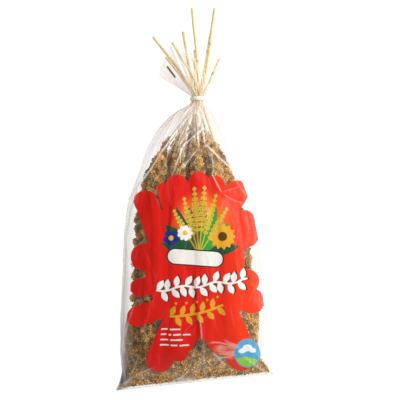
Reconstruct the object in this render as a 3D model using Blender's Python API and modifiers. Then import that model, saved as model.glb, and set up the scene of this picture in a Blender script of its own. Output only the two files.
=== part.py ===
"""A tied bag of foxtail millet: nine dried millet sprays stand side by side in a clear film bag, and one
tie closes the neck of the bag round their straw stalks. The bag lies on its back.

Run it with: blender --background --python part.py
Metres, +Z up. The bottom seal points to -Y, the stalks to +Y and the printed face of the bag to +Z. The
origin is the middle of the flat patch that the bag lies on.
"""

import math

import bmesh
import bpy
import numpy as np
from mathutils import Vector

MM = 0.001

# The filled bag, from the bottom seal up to the neck. A run is the distance above the seal, along Y.
SEAL_Y = -222 * MM
SEAL_SLANT = 0.106  # the seal climbs this much towards +X, and the slant fades out towards the neck
SLANT_FADE_RUN = 300 * MM
NECK_RUN = 345 * MM
WALL = 0.6 * MM
SEAL_DEPTH = 7 * MM  # solid film below the cavity
BAG_SIDES = 36
CREASE_HEIGHT = 0.36  # of a section's height: where the side creases of the film tube run

# Each section: run, left edge, right edge, underside, top, and squareness. An underside below zero is
# what the table flattens. Squareness 2 is an ellipse.
BAG_SECTIONS = (
    (0, -96.5, 96.5, 7.0, 8.6, 2.0),
    (8, -92.5, 92.0, 4.6, 14.5, 2.0),
    (20, -89.0, 84.0, 1.0, 27.0, 2.2),
    (42, -89.5, 81.5, -2.5, 45.0, 2.6),
    (80, -89.0, 83.5, -4.0, 59.0, 2.9),
    (120, -87.5, 81.0, -4.0, 64.5, 3.0),
    (170, -84.5, 76.5, -4.0, 65.0, 3.0),
    (215, -80.0, 67.5, -3.0, 62.0, 3.0),
    (255, -68.5, 53.0, -1.5, 55.0, 2.8),
    (290, -54.0, 38.0, 2.0, 46.0, 2.5),
    (318, -35.0, 27.0, 7.0, 37.0, 2.2),
    (334, -17.0, 19.0, 10.5, 31.5, 2.0),
    (342, -5.0, 13.0, 11.8, 28.4, 2.0),
)
BAG_RING_RUNS = (0, 8, 20, 42, 62, 84, 120, 168, 210, 238, 260, 277, 291, 305, 318, 327, 335)

# The neck, where the tie is, and the frill of loose film above it
NECK = Vector((4.2 * MM, SEAL_Y + NECK_RUN, 20 * MM))
NECK_RADIUS = 8.2 * MM
NECK_HALF_LENGTH = 3.4 * MM
PLEATS = 9
NECK_PLEAT = 0.035  # of the radius
SHOULDER_PLEAT = 0.03
SHOULDER_PLEAT_RUN = 312 * MM
SHOULDER_PLEAT_REACH = 45 * MM
FRILL_LOW_RIM = Vector((20, 137, 20)) * MM  # beside the right stalks
FRILL_HIGH_RIM_Y = 184 * MM
FRILL_LEFT_RIM = Vector((-42.6, 150, 20)) * MM
FRILL_DROOP_POWER = 4.5  # the rim turns down sharply at its left corner
FRILL_HALF_DEPTH = 17 * MM
FRILL_RINGS = 4

TIE_GAP = 0.45 * MM
TIE_WIDTH = 4.4 * MM
TIE_THICKNESS = 1.1 * MM
TIE_CHAMFER = 0.35 * MM
TIE_SIDES = 32

STALK_RADIUS = 1.4 * MM
STALK_TIP_SHARE = 0.86  # of the radius, at the cut end
STALK_STEPS = 12
STALK_COLLAR = 1.6 * MM  # the last stretch of a stalk stands square to the base of its head
MEETING_GAP = 0.35 * MM  # between a stalk and its head, and between neighbours

# Nine sprays: turn and radius of the stalk's place in the neck, side position in the bag (-1 to 1),
# layer, run of the head's base, run of its tip, and the cut end of the stalk measured from the neck
# (right, up the page, towards the print).
LOWER, UPPER = 0.266, 0.70  # heights of the two layers, of a section's height
SPRAYS = (
    (83, 5.5, 0.738, LOWER, 288, 30, (-54.5, 76.6, -6.7)),
    (122, 4.5, 0.56, UPPER, 297, 42, (-38.8, 51.0, -0.1)),
    (35, 5.6, 0.352, LOWER, 301, 28, (-30.5, 67.1, 12.0)),
    (168, 5.1, 0.19, UPPER, 316, 40, (-18.4, 83.3, -11.4)),
    (107, 1.2, 0.0, LOWER, 303, 27, (-6.7, 109.2, 5.0)),
    (204, 5.4, -0.20, UPPER, 313, 41, (-3.7, 61.4, -12.0)),
    (282, 5.6, -0.37, LOWER, 290, 28, (20.2, 106.9, 14.0)),
    (246, 5.5, -0.58, UPPER, 289, 43, (17.1, 89.5, -11.8)),
    (322, 3.9, -0.728, LOWER, 272, 31, (26.1, 48.6, 1.4)),
)
HEAD_SIDES = 14  # two for each lobe
HEAD_LOBE_RUN = 11.5 * MM
HEAD_FILL = (0.236, 0.176)  # a head's radius as a share of the bag's height and half width
HEAD_SHY = 0.75 * MM
HEAD_BASE_ROUND = 30 * MM
HEAD_TIP_ROUND = 34 * MM
HEAD_BASE_RADIUS = 2 * MM  # the flat end that the stalk grows from
LOBE_VALLEY = 0.64
LOBE_SPREAD = 0.09
SEED = 11

# Loose seed that has dropped out of the heads and lies in the bottom of the bag
SEED_BED_RUNS = (8.5, 12, 16, 20, 23.5)
SEED_BED_SIDES = 28
SEED_BED_SHY = 1.2 * MM
SEED_BED_BUMP = 0.05


def clear_scene():
    for old in list(bpy.data.objects):
        bpy.data.objects.remove(old, do_unlink=True)


def material(name, colour, roughness, alpha=1.0):
    made = bpy.data.materials.new(name)
    made.use_nodes = True
    shader = made.node_tree.nodes["Principled BSDF"]
    shader.inputs["Base Color"].default_value = (*colour, 1.0)
    shader.inputs["Roughness"].default_value = roughness
    shader.inputs["Metallic"].default_value = 0.0
    shader.inputs["Alpha"].default_value = alpha
    return made


def cubic_through(rows, at):
    """The row at a run, on one smooth curve through rows whose first number is their run."""
    table = np.array(rows, float)
    runs, values = table[:, 0], table[:, 1:]
    slopes = np.gradient(values, runs, axis=0)
    i = int(np.clip(np.searchsorted(runs, at) - 1, 0, len(runs) - 2))
    step = runs[i + 1] - runs[i]
    t = float(np.clip((at - runs[i]) / step, 0, 1))
    start = (2 * t**3 - 3 * t**2 + 1) * values[i] + (t**3 - 2 * t**2 + t) * step * slopes[i]
    end = (3 * t**2 - 2 * t**3) * values[i + 1] + (t**3 - t**2) * step * slopes[i + 1]
    return start + end


def bag_section(run):
    """Centre, half width, underside, top and squareness of the bag at a run, in metres."""
    left, right, low, high, square = cubic_through(BAG_SECTIONS, run / MM)
    return (left + right) / 2 * MM, (right - left) / 2 * MM, low * MM, high * MM, square


def slanted_y(run, x):
    """Sections lean with the seal line near the bottom and stand square to the bag near the neck."""
    fade = min(run / SLANT_FADE_RUN, 1.0)
    return SEAL_Y + run + SEAL_SLANT * (1 - fade * fade * (3 - 2 * fade)) * x


def signed_power(value, power):
    return math.copysign(abs(value) ** power, value)


def bag_ring(run, inset):
    """One ring of film round the filled bag, taken in by inset for the inner face."""
    centre, half, low, high, square = bag_section(run)
    half -= 2 * inset
    crease = max(low, 0) + CREASE_HEIGHT * (high - max(low, 0))
    pleat = SHOULDER_PLEAT * math.exp(-(((run - SHOULDER_PLEAT_RUN) / SHOULDER_PLEAT_REACH) ** 2))
    ring = []
    for k in range(BAG_SIDES):
        turn = 2 * math.pi * k / BAG_SIDES
        swell = 1 + pleat * math.cos(PLEATS * turn)
        x = centre + half * signed_power(math.cos(turn), 2 / square) * swell
        up = signed_power(math.sin(turn), 2 / square) * swell
        height = (high - inset - crease) if up > 0 else (crease - low - inset)
        z = max(crease + height * up, inset)
        ring.append(Vector((x, slanted_y(run, x), z)))
    return ring


def neck_ring(along, inset):
    """A pleated ring of film in the neck, at a distance along +Y from its middle."""
    ring = []
    for k in range(BAG_SIDES):
        turn = 2 * math.pi * k / BAG_SIDES
        radius = NECK_RADIUS * (1 + NECK_PLEAT * math.cos(PLEATS * turn)) - inset
        ring.append(NECK + Vector((radius * math.cos(turn), along, radius * math.sin(turn))))
    return ring


def frill_rings():
    """The mouth of the bag above the tie: a fan that is low on the right and swings out to the left."""
    start = neck_ring(NECK_HALF_LENGTH, 0)
    rings = []
    for step in range(1, FRILL_RINGS + 1):
        t = step / FRILL_RINGS
        ring = []
        for k, base in enumerate(start):
            turn = 2 * math.pi * k / BAG_SIDES
            left = (1 - math.cos(turn)) / 2
            climb = math.sin(math.pi / 2 * min(1, 1.6 * left))
            droop = max(0, left - 0.6) / 0.4
            rim = Vector((
                FRILL_LOW_RIM.x + (FRILL_LEFT_RIM.x - FRILL_LOW_RIM.x) * left,
                FRILL_LOW_RIM.y
                + (FRILL_HIGH_RIM_Y - FRILL_LOW_RIM.y) * climb
                - (FRILL_HIGH_RIM_Y - FRILL_LEFT_RIM.y) * droop**FRILL_DROOP_POWER,
                NECK.z + FRILL_HALF_DEPTH * math.sin(turn) * (1 + NECK_PLEAT * math.cos(PLEATS * turn)),
            ))
            bend = base + Vector((
                math.cos(turn) * (4 + 24 * left) * MM,
                (6 + 12 * left) * MM,
                math.sin(turn) * 9 * MM,
            ))
            ring.append((1 - t) ** 2 * base + 2 * t * (1 - t) * bend + t * t * rim)
        rings.append(ring)
    return rings


def thinned(rings, before):
    """The inner face of rings: each point moved in by the wall along the film's own normal."""
    whole = [before, *rings]
    inner = []
    for i, ring in enumerate(rings, start=1):
        above = whole[min(i + 1, len(whole) - 1)]
        below = whole[i - 1]
        moved = []
        for k, point in enumerate(ring):
            round_ring = ring[(k + 1) % len(ring)] - ring[k - 1]
            normal = (above[k] - below[k]).cross(round_ring).normalized()
            moved.append(point - WALL * normal)
        inner.append(moved)
    return inner


def finished(name, shape, surface):
    """An object from a bmesh: closed, faces out, smooth where it is round."""
    shape.normal_update()
    bmesh.ops.recalc_face_normals(shape, faces=shape.faces)
    bmesh.ops.triangulate(shape, faces=shape.faces)
    mesh = bpy.data.meshes.new(name)
    shape.to_mesh(mesh)
    shape.free()
    mesh.shade_smooth()
    mesh.set_sharp_from_angle(angle=math.radians(50))
    mesh.materials.append(surface)
    made = bpy.data.objects.new(name, mesh)
    parts.objects.link(made)
    return made


def loft(name, rings, surface):
    """One closed body: rings joined in order, with the first and the last one capped."""
    shell = bmesh.new()
    rows = [[shell.verts.new(point) for point in ring] for ring in rings]
    for lower, upper in zip(rows, rows[1:]):
        for k in range(len(lower)):
            nxt = (k + 1) % len(lower)
            shell.faces.new((lower[k], lower[nxt], upper[nxt], upper[k]))
    shell.faces.new(rows[0])
    shell.faces.new(rows[-1])
    return finished(name, shell, surface)


def shaped_sphere(name, sides, rows, place, surface):
    """A UV sphere whose points are moved to place(row, side): row 0 and the last row are its poles."""
    ball = bmesh.new()
    bmesh.ops.create_uvsphere(ball, u_segments=sides, v_segments=rows, radius=1)
    for vert in ball.verts:
        row = round(math.acos(max(-1, min(1, -vert.co.z))) / math.pi * rows)
        side = round(math.atan2(vert.co.y, vert.co.x) / (2 * math.pi) * sides) % sides
        vert.co = place(row, side)
    return finished(name, ball, surface)


def make_bag(surface):
    """The film: up the outer face from the seal to the rim of the frill, and back down the inner face."""
    outer = [bag_ring(run * MM, 0) for run in BAG_RING_RUNS]
    outer += [neck_ring(-NECK_HALF_LENGTH, 0), neck_ring(NECK_HALF_LENGTH, 0)]
    inner = [bag_ring(SEAL_DEPTH, WALL)]
    inner += [bag_ring(run * MM, WALL) for run in BAG_RING_RUNS if run * MM > SEAL_DEPTH]
    inner += [neck_ring(-NECK_HALF_LENGTH, WALL), neck_ring(NECK_HALF_LENGTH, WALL)]
    frill = frill_rings()
    inner += thinned(frill, outer[-1])
    return loft("film_bag", outer + frill + inner[::-1], surface)


def head_centre(spray, run):
    _, _, side, layer, *_ = spray
    centre, half, low, high, _ = bag_section(run)
    floor = max(low, 0)
    return centre + side * half, floor + layer * (high - floor)


def head_radius(spray, run, base, tip):
    """As wide as the bag leaves room for, rounded off at the base and tapered to the tip."""
    _, half, low, high, _ = bag_section(run)
    room = min(HEAD_FILL[0] * (high - max(low, 0)), HEAD_FILL[1] * half) - HEAD_SHY / 2
    from_base = min((base - run) / HEAD_BASE_ROUND, 1)
    from_tip = min((run - tip) / HEAD_TIP_ROUND, 1)
    ends = [math.sqrt(max(0.0, 1 - (1 - share) ** 2)) for share in (from_base, from_tip)]
    return max(room * min(ends), HEAD_BASE_RADIUS)


def make_head(number, spray, surface, rng):
    """A head is a spiky tube of seed clusters: every second row of lobes is turned by half a lobe."""
    base, tip = spray[4] * MM, spray[5] * MM
    rows = 2 * round((base - tip) / HEAD_LOBE_RUN)
    wobble = rng.random((rows + 1, HEAD_SIDES))

    def place(row, side):
        run = tip + (base - tip) * min(row / (rows - 1), 1)
        x, z = head_centre(spray, run)
        if row in (0, rows):
            return Vector((x, slanted_y(run, x), z))
        share = (1 + LOBE_VALLEY) / 2
        if row % 2 == 1:
            share = 1 if (side + row // 2) % 2 == 0 else LOBE_VALLEY
        radius = head_radius(spray, run, base, tip) * (share - LOBE_SPREAD * wobble[row, side])
        if row == rows - 1:
            radius = HEAD_BASE_RADIUS
        turn = 2 * math.pi * side / HEAD_SIDES
        at_x = x + radius * math.cos(turn)
        return Vector((at_x, slanted_y(run, at_x), z + radius * math.sin(turn)))

    return shaped_sphere(f"millet_head_{number}", HEAD_SIDES, rows, place, surface)


def stalk_line(spray):
    """Points down a stalk, from its cut end through the neck to just above its head."""
    neck_turn, neck_place, _, _, base, _, cut_end = spray
    turn = math.radians(neck_turn)
    waist = NECK + neck_place * MM * Vector((math.cos(turn), 0, math.sin(turn)))
    cut = NECK + Vector(cut_end) * MM
    run = base * MM + MEETING_GAP
    x, z = head_centre(spray, run)
    foot = Vector((x, slanted_y(run, x), z))
    upper, lower = (cut - waist).length, (foot - waist).length
    through = ((waist - cut) / upper + (foot - waist) / lower).normalized()
    line = []
    for start, end, heading_in, heading_out, length in (
        (cut, waist, (waist - cut) / upper, through, upper),
        (waist, foot, through, (foot - waist) / lower, lower),
    ):
        for step in range(STALK_STEPS // 2 + 1):
            t = step / (STALK_STEPS // 2)
            line.append(
                (2 * t**3 - 3 * t**2 + 1) * start
                + (t**3 - 2 * t**2 + t) * length * heading_in
                + (3 * t**2 - 2 * t**3) * end
                + (t**3 - t**2) * length * heading_out
            )
    collar = line[-1] + Vector((0, STALK_COLLAR, 0))
    return line[: STALK_STEPS // 2] + line[STALK_STEPS // 2 + 1 : -1] + [collar, line[-1]]


def make_stalk(number, spray, surface):
    line = stalk_line(spray)
    path = bpy.data.curves.new(f"stalk_{number}", "CURVE")
    path.dimensions = "3D"
    path.bevel_depth = STALK_RADIUS
    path.bevel_resolution = 2
    path.use_fill_caps = True
    spline = path.splines.new("POLY")
    spline.points.add(len(line) - 1)
    for i, (point, at) in enumerate(zip(spline.points, line)):
        point.co = (*at, 1)
        point.radius = STALK_TIP_SHARE + (1 - STALK_TIP_SHARE) * min(1, 3 * i / (len(line) - 1))
    path.materials.append(surface)
    made = bpy.data.objects.new(f"stalk_{number}", path)
    parts.objects.link(made)
    return made


def make_seed_bed(surface, rng):
    """Loose seed fills the flat bottom of the bag out to both corners."""
    rows = len(SEED_BED_RUNS) + 1
    wobble = rng.random((rows + 1, SEED_BED_SIDES))

    def place(row, side):
        run = SEED_BED_RUNS[min(max(row - 1, 0), rows - 2)] * MM
        centre, half, low, high, square = bag_section(run)
        half -= 2 * (WALL + SEED_BED_SHY)
        floor, top = max(low, 0) + WALL + SEED_BED_SHY, high - WALL - SEED_BED_SHY
        crease = floor + CREASE_HEIGHT * (top - floor)
        if row in (0, rows):
            return Vector((centre, slanted_y(run, centre), crease))
        turn = 2 * math.pi * side / SEED_BED_SIDES
        size = 1 - SEED_BED_BUMP * wobble[row, side]
        x = centre + half * signed_power(math.cos(turn), 2 / square) * size
        up = signed_power(math.sin(turn), 2 / square) * size
        return Vector((x, slanted_y(run, x), crease + (top - crease if up > 0 else crease - floor) * up))

    return shaped_sphere("loose_seed", SEED_BED_SIDES, rows, place, surface)


def make_tie(surface):
    """A flat band round the neck: its section turned once round the neck's own axis."""
    inner = NECK_RADIUS * (1 + NECK_PLEAT) + TIE_GAP
    outer = inner + TIE_THICKNESS
    edge = TIE_WIDTH / 2
    section = bpy.data.meshes.new("tie")
    corners = (
        (outer - TIE_CHAMFER, edge), (outer, edge - TIE_CHAMFER), (outer, TIE_CHAMFER - edge),
        (outer - TIE_CHAMFER, -edge), (inner, -edge), (inner, edge),
    )
    around = [(k, (k + 1) % len(corners)) for k in range(len(corners))]
    section.from_pydata([(radius, 0, along) for radius, along in corners], around, [])
    section.materials.append(surface)
    made = bpy.data.objects.new("tie", section)
    made.location = NECK
    made.rotation_euler = (math.radians(-90), 0, 0)
    turned = made.modifiers.new("turn", "SCREW")
    turned.steps = turned.render_steps = TIE_SIDES
    turned.use_merge_vertices = True
    turned.merge_threshold = 0.00001
    parts.objects.link(made)
    return made


clear_scene()
parts = bpy.data.collections.new("millet bag")
bpy.context.scene.collection.children.link(parts)

film = material("clear film", (0.93, 0.92, 0.90), 0.12, alpha=0.25)
seed_clusters = material("millet seed", (0.52, 0.36, 0.16), 0.75)
straw = material("straw", (0.86, 0.70, 0.38), 0.55)
white_tie = material("white tie", (0.93, 0.91, 0.84), 0.40)
random_source = np.random.default_rng(SEED)

make_bag(film)
for count, one in enumerate(SPRAYS, start=1):
    make_head(count, one, seed_clusters, random_source)
    make_stalk(count, one, straw)
make_seed_bed(seed_clusters, random_source)
make_tie(white_tie)
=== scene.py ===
# %% [markdown]
# # A tied bag of foxtail millet
#
# The object is a clear film bag with nine dried millet heads in it. Their straw stalks leave through the
# gathered neck, where one tie holds them, and the open mouth of the bag stands round them as a frill. The
# solid model gives each piece its place and its outer size. This script dresses it: thousands of grains on
# the heads, fluted stalks, a creased and printed film, and a photographer's white set.

import math

import bpy
import numpy as np
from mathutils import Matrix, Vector


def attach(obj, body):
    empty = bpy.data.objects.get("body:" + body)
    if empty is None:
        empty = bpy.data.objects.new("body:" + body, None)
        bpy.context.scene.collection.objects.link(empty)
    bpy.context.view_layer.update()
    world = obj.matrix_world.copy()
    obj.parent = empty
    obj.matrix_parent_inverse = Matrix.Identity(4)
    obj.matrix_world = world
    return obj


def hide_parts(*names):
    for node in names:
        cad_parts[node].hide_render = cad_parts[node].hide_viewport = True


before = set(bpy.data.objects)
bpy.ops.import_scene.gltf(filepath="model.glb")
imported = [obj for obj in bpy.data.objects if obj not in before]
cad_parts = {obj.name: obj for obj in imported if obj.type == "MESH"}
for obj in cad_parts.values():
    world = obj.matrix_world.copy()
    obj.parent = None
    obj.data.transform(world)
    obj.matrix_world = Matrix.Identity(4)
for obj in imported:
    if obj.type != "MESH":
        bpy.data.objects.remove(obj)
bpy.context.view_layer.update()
scene = bpy.context.scene
MM = 0.001

# %% [markdown]
# ## Camera
#
# The picture looks straight down on the bag's printed face, from far away: the sides of the bag show no
# perspective. A long lens does that. At 85 mm on a 36 mm sensor, a frame 0.48 m wide needs the lens 1.13 m
# above the height where the bag is widest.

# %% Camera
FRAME_WIDTH = 480 * MM
WIDEST_HEIGHT = 30 * MM
FRAME_MIDDLE = Vector((6.6 * MM, 0.9 * MM, 0))
LENS, SENSOR = 85.0, 36.0
camera_distance = FRAME_WIDTH * LENS / SENSOR

lens = bpy.data.cameras.new("camera")
lens.lens, lens.sensor_width = LENS, SENSOR
camera = bpy.data.objects.new("camera", lens)
camera.location = FRAME_MIDDLE + Vector((0, 0, WIDEST_HEIGHT + camera_distance))
scene.collection.objects.link(camera)
scene.camera = camera
print("camera", round(camera_distance, 3), "m above the bag's widest height")

# %% [markdown]
# ## Floor and light
#
# The photograph is high key: a white ground with no shadow, as on a light table. So the floor is a sheet that
# glows just to full white and answers other light very little. A brighter sheet would hide the thin film in
# front of it. One large soft light stands to the right, because the right side of every stalk and fold is the
# bright one. The sky is pale on that side and dim on the left, so that the left folds of the film stay grey.

# %% Helper: add a node and plug it in
def add(tree, kind, plugs=None, **settings):
    """A new node. Plugs maps a socket, by name or number, to a value or to another node's socket."""
    made = tree.nodes.new(kind)
    for name, value in settings.items():
        setattr(made, name, value)
    for socket, value in (plugs or {}).items():
        if isinstance(value, bpy.types.Node):
            value = value.outputs[0]
        if isinstance(value, bpy.types.NodeSocket):
            tree.links.new(value, made.inputs[socket])
        else:
            made.inputs[socket].default_value = value
    return made


def sum_of(tree, operation, *terms, clamp=False):
    """One Math node on up to three values or sockets."""
    return add(tree, "ShaderNodeMath", dict(enumerate(terms)), operation=operation, use_clamp=clamp)


def vector_of(tree, operation, *terms, scale=None):
    """One Vector Math node; scale is the factor of a SCALE."""
    plugs = dict(enumerate(terms))
    if scale is not None:
        plugs["Scale"] = scale
    return add(tree, "ShaderNodeVectorMath", plugs, operation=operation)


def mixed(tree, share, first, second, blend="MIX"):
    """The colour between two colours, by a share from 0 to 1."""
    return add(tree, "ShaderNodeMix", {0: share, 6: first, 7: second},
               data_type="RGBA", blend_type=blend).outputs[2]


def ranged(tree, value, low, high, new_low, new_high, **settings):
    """A value stretched from one range to another."""
    return add(tree, "ShaderNodeMapRange", {0: value, 1: low, 2: high, 3: new_low, 4: new_high},
               **settings).outputs[0]


def noise(tree, place, scale, detail, **more):
    """Cloudy random values from 0 to 1, about as many to a metre as the scale says."""
    plugs = {"Vector": place, "Scale": scale, "Detail": detail, **more}
    return add(tree, "ShaderNodeTexNoise", plugs).outputs["Fac"]


def blank_material(name):
    """A material with only its output, ready for nodes."""
    made = bpy.data.materials.new(name)
    made.use_nodes = True
    made.node_tree.nodes.clear()
    return made, made.node_tree, made.node_tree.nodes.new("ShaderNodeOutputMaterial")


# %% Floor
FLOOR_HALF = 1.6
FLOOR_DROP = 0.3 * MM
FLOOR_GLOW = 0.97

floor_mesh = bpy.data.meshes.new("floor")
floor_mesh.from_pydata(
    [(x * FLOOR_HALF, y * FLOOR_HALF, -FLOOR_DROP) for x, y in ((-1, -1), (1, -1), (1, 1), (-1, 1))],
    [], [(0, 1, 2, 3)])
floor = bpy.data.objects.new("floor", floor_mesh)
scene.collection.objects.link(floor)
white_paper, tree, end = blank_material("white_paper")
paper = add(tree, "ShaderNodeBsdfPrincipled", {
    "Base Color": (0.10, 0.10, 0.10, 1), "Roughness": 0.9, "Specular IOR Level": 0.0,
    "Emission Color": (1, 1, 1, 1), "Emission Strength": FLOOR_GLOW})
tree.links.new(paper.outputs[0], end.inputs[0])
floor.data.materials.append(white_paper)
print("floor", 2 * FLOOR_HALF, "m wide")

# %% Lights
def soft_light(name, place, size, power, colour=(1, 1, 1)):
    """A square area light that faces the bag's middle."""
    lamp = bpy.data.lights.new(name, "AREA")
    lamp.shape, lamp.size, lamp.energy, lamp.color = "SQUARE", size, power, colour
    made = bpy.data.objects.new(name, lamp)
    made.location = place
    made.rotation_euler = Vector(place).to_track_quat("Z", "Y").to_euler()
    scene.collection.objects.link(made)
    return made


soft_light("key_light", (1.30, 0.35, 1.15), 0.8, 22, (1.0, 0.985, 0.96))
soft_light("top_light", (0.15, 1.05, 1.5), 0.5, 5)
sky = bpy.data.worlds.new("pale_sky")
sky.use_nodes = True
tree = sky.node_tree
heading = add(tree, "ShaderNodeSeparateXYZ", {0: add(tree, "ShaderNodeTexCoord").outputs["Generated"]})
side_share = ranged(tree, heading.outputs["X"], -0.9, 0.7, 0.0, 1.0)
sky_colour = mixed(tree, side_share, (0.19, 0.19, 0.19, 1), (0.60, 0.59, 0.57, 1))
tree.links.new(sky_colour, tree.nodes["Background"].inputs["Color"])
scene.world = sky
scene.view_settings.view_transform = "Standard"

# %% [markdown]
# ## The shape of the bag, again
#
# Everything inside follows the bag, so its shape comes first. A run is a distance above the bottom seal.
# At each run the bag has a left and a right edge, an underside, a top and a squareness, which says how far
# its section is from an ellipse. One smooth curve goes through the rows of the table.

# %% Sections of the filled bag
SEAL_Y = -222.0
SEAL_SLANT, SLANT_FADE_RUN = 0.106, 300.0
CREASE_HEIGHT = 0.36
BAG_SECTIONS = np.array((
    (0, -96.5, 96.5, 7.0, 8.6, 2.0),
    (8, -92.5, 92.0, 4.6, 14.5, 2.0),
    (20, -89.0, 84.0, 1.0, 27.0, 2.2),
    (42, -89.5, 81.5, -2.5, 45.0, 2.6),
    (80, -89.0, 83.5, -4.0, 59.0, 2.9),
    (120, -87.5, 81.0, -4.0, 64.5, 3.0),
    (170, -84.5, 76.5, -4.0, 65.0, 3.0),
    (215, -80.0, 67.5, -3.0, 62.0, 3.0),
    (255, -68.5, 53.0, -1.5, 55.0, 2.8),
    (290, -54.0, 38.0, 2.0, 46.0, 2.5),
    (318, -35.0, 27.0, 7.0, 37.0, 2.2),
    (334, -17.0, 19.0, 10.5, 31.5, 2.0),
    (342, -5.0, 13.0, 11.8, 28.4, 2.0),
))
SECTION_SLOPES = np.gradient(BAG_SECTIONS[:, 1:], BAG_SECTIONS[:, 0], axis=0)


def bag_sections(runs):
    """Centre, half width, underside, top and squareness of the bag at every run, in millimetres."""
    runs = np.atleast_1d(np.asarray(runs, float))
    table, values = BAG_SECTIONS[:, 0], BAG_SECTIONS[:, 1:]
    i = np.clip(np.searchsorted(table, runs) - 1, 0, len(table) - 2)
    step = (table[i + 1] - table[i])[:, None]
    t = np.clip((runs - table[i])[:, None] / step, 0, 1)
    rows = ((2 * t**3 - 3 * t**2 + 1) * values[i] + (t**3 - 2 * t**2 + t) * step * SECTION_SLOPES[i]
            + (3 * t**2 - 2 * t**3) * values[i + 1] + (t**3 - t**2) * step * SECTION_SLOPES[i + 1])
    left, right, low, high, square = rows.T
    return (left + right) / 2, (right - left) / 2, low, high, square


def slanted_y(run, x):
    """Sections lean with the seal line near the bottom and stand square to the bag near the neck."""
    fade = np.minimum(run / SLANT_FADE_RUN, 1.0)
    return SEAL_Y + run + SEAL_SLANT * (1 - fade * fade * (3 - 2 * fade)) * x


print("bag at run 170:", [round(float(v[0]), 1) for v in bag_sections(170)])

# %% [markdown]
# ## Seed heads
#
# A foxtail head is a straw-thin axis crowded with short branches, and each branch ends in a tight clump of
# round grains about 2 mm across. Modelled by hand that is tens of thousands of grains, so Geometry Nodes
# place them. Clumps sit on the axis in a spiral that turns 137.5 degrees from one to the next, as on most
# plants, which spaces them evenly without rows. Each clump is a small dome of seats in the same spiral, and
# one twenty-sided grain goes on each seat, turned outwards. A brown heart fills each clump, and a core fills
# the head, so that no light shines through. The core stores no value and so takes the darkest brown: painted
# shade in the gaps between clumps. Two values are stored for the colours: one for each grain, brighter on the
# outside of its clump and darker at its rim as painted shade between clumps, and a random one for each clump.

# %% The nine sprays, as in the solid model
LOWER, UPPER = 0.266, 0.70  # how high the two layers of heads lie, as a share of the bag's height
SPRAYS = (  # turn and distance in the neck, side, layer, runs of the head's two ends, cut end from the neck
    (83, 5.5, 0.738, LOWER, 288, 30, (-54.5, 76.6, -6.7)),
    (122, 4.5, 0.56, UPPER, 297, 42, (-38.8, 51.0, -0.1)),
    (35, 5.6, 0.352, LOWER, 301, 28, (-30.5, 67.1, 12.0)),
    (168, 5.1, 0.19, UPPER, 316, 40, (-18.4, 83.3, -11.4)),
    (107, 1.2, 0.0, LOWER, 303, 27, (-6.7, 109.2, 5.0)),
    (204, 5.4, -0.20, UPPER, 313, 41, (-3.7, 61.4, -12.0)),
    (282, 5.6, -0.37, LOWER, 290, 28, (20.2, 106.9, 14.0)),
    (246, 5.5, -0.58, UPPER, 289, 43, (17.1, 89.5, -11.8)),
    (322, 3.9, -0.728, LOWER, 272, 31, (26.1, 48.6, 1.4)),
)
HEAD_FILL = (0.236, 0.176)
HEAD_SHY = 0.75
GRAIN_SHY = 1.25  # room for the outermost grains under the film
LEAST_GIRTH = 3.6  # both ends of a head still carry a few small clumps
HEAD_BASE_ROUND, HEAD_TIP_ROUND = 30.0, 34.0
AXIS_POINTS = 48
NECK = np.array((4.2, 123.0, 20.0))
STRAY_REACH = 9.0  # a few small clumps grow on the stalk above each head


def head_axis(spray):
    """Points down the middle of a head and a little up its stalk, and the outer radius at each."""
    side, layer, base, tip = spray[2:6]
    runs = np.linspace(base, tip, AXIS_POINTS)
    centre, half, low, high, _ = bag_sections(runs)
    floor_height = np.maximum(low, 0)
    x = centre + side * half
    points = np.column_stack((x, slanted_y(runs, x), floor_height + layer * (high - floor_height)))
    room = np.minimum(HEAD_FILL[0] * (high - floor_height), HEAD_FILL[1] * half) - HEAD_SHY / 2
    ends = [np.sqrt(np.clip(1 - (1 - np.clip(share, 0, 1)) ** 2, 0, 1))
            for share in ((base - runs) / HEAD_BASE_ROUND, (runs - tip) / HEAD_TIP_ROUND)]
    radii = np.maximum(room * np.minimum(*ends) - GRAIN_SHY, LEAST_GIRTH)
    up_stalk = (NECK - points[0]) / np.linalg.norm(NECK - points[0])
    strays = points[0] + up_stalk * np.linspace(STRAY_REACH, STRAY_REACH / 4, 4)[:, None]
    return np.concatenate((strays, points)), np.concatenate((np.linspace(2.2, 3.0, 4), radii))


print("head 1 is", round(float(head_axis(SPRAYS[0])[1].max()), 1), "mm in radius")

# %% Colours of millet
HUSK_SPECKLE = 0.14  # how far a grain's own speckle moves its tone
seed_material, tree, end = blank_material("millet_seed")
tone = add(tree, "ShaderNodeAttribute", attribute_name="tone").outputs["Fac"]
clump = add(tree, "ShaderNodeAttribute", attribute_name="clump").outputs["Fac"]
place = add(tree, "ShaderNodeTexCoord").outputs["Object"]
husk_speckle = noise(tree, place, 700.0, 2.0)
patch = noise(tree, place, 38.0, 2.0)
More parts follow.
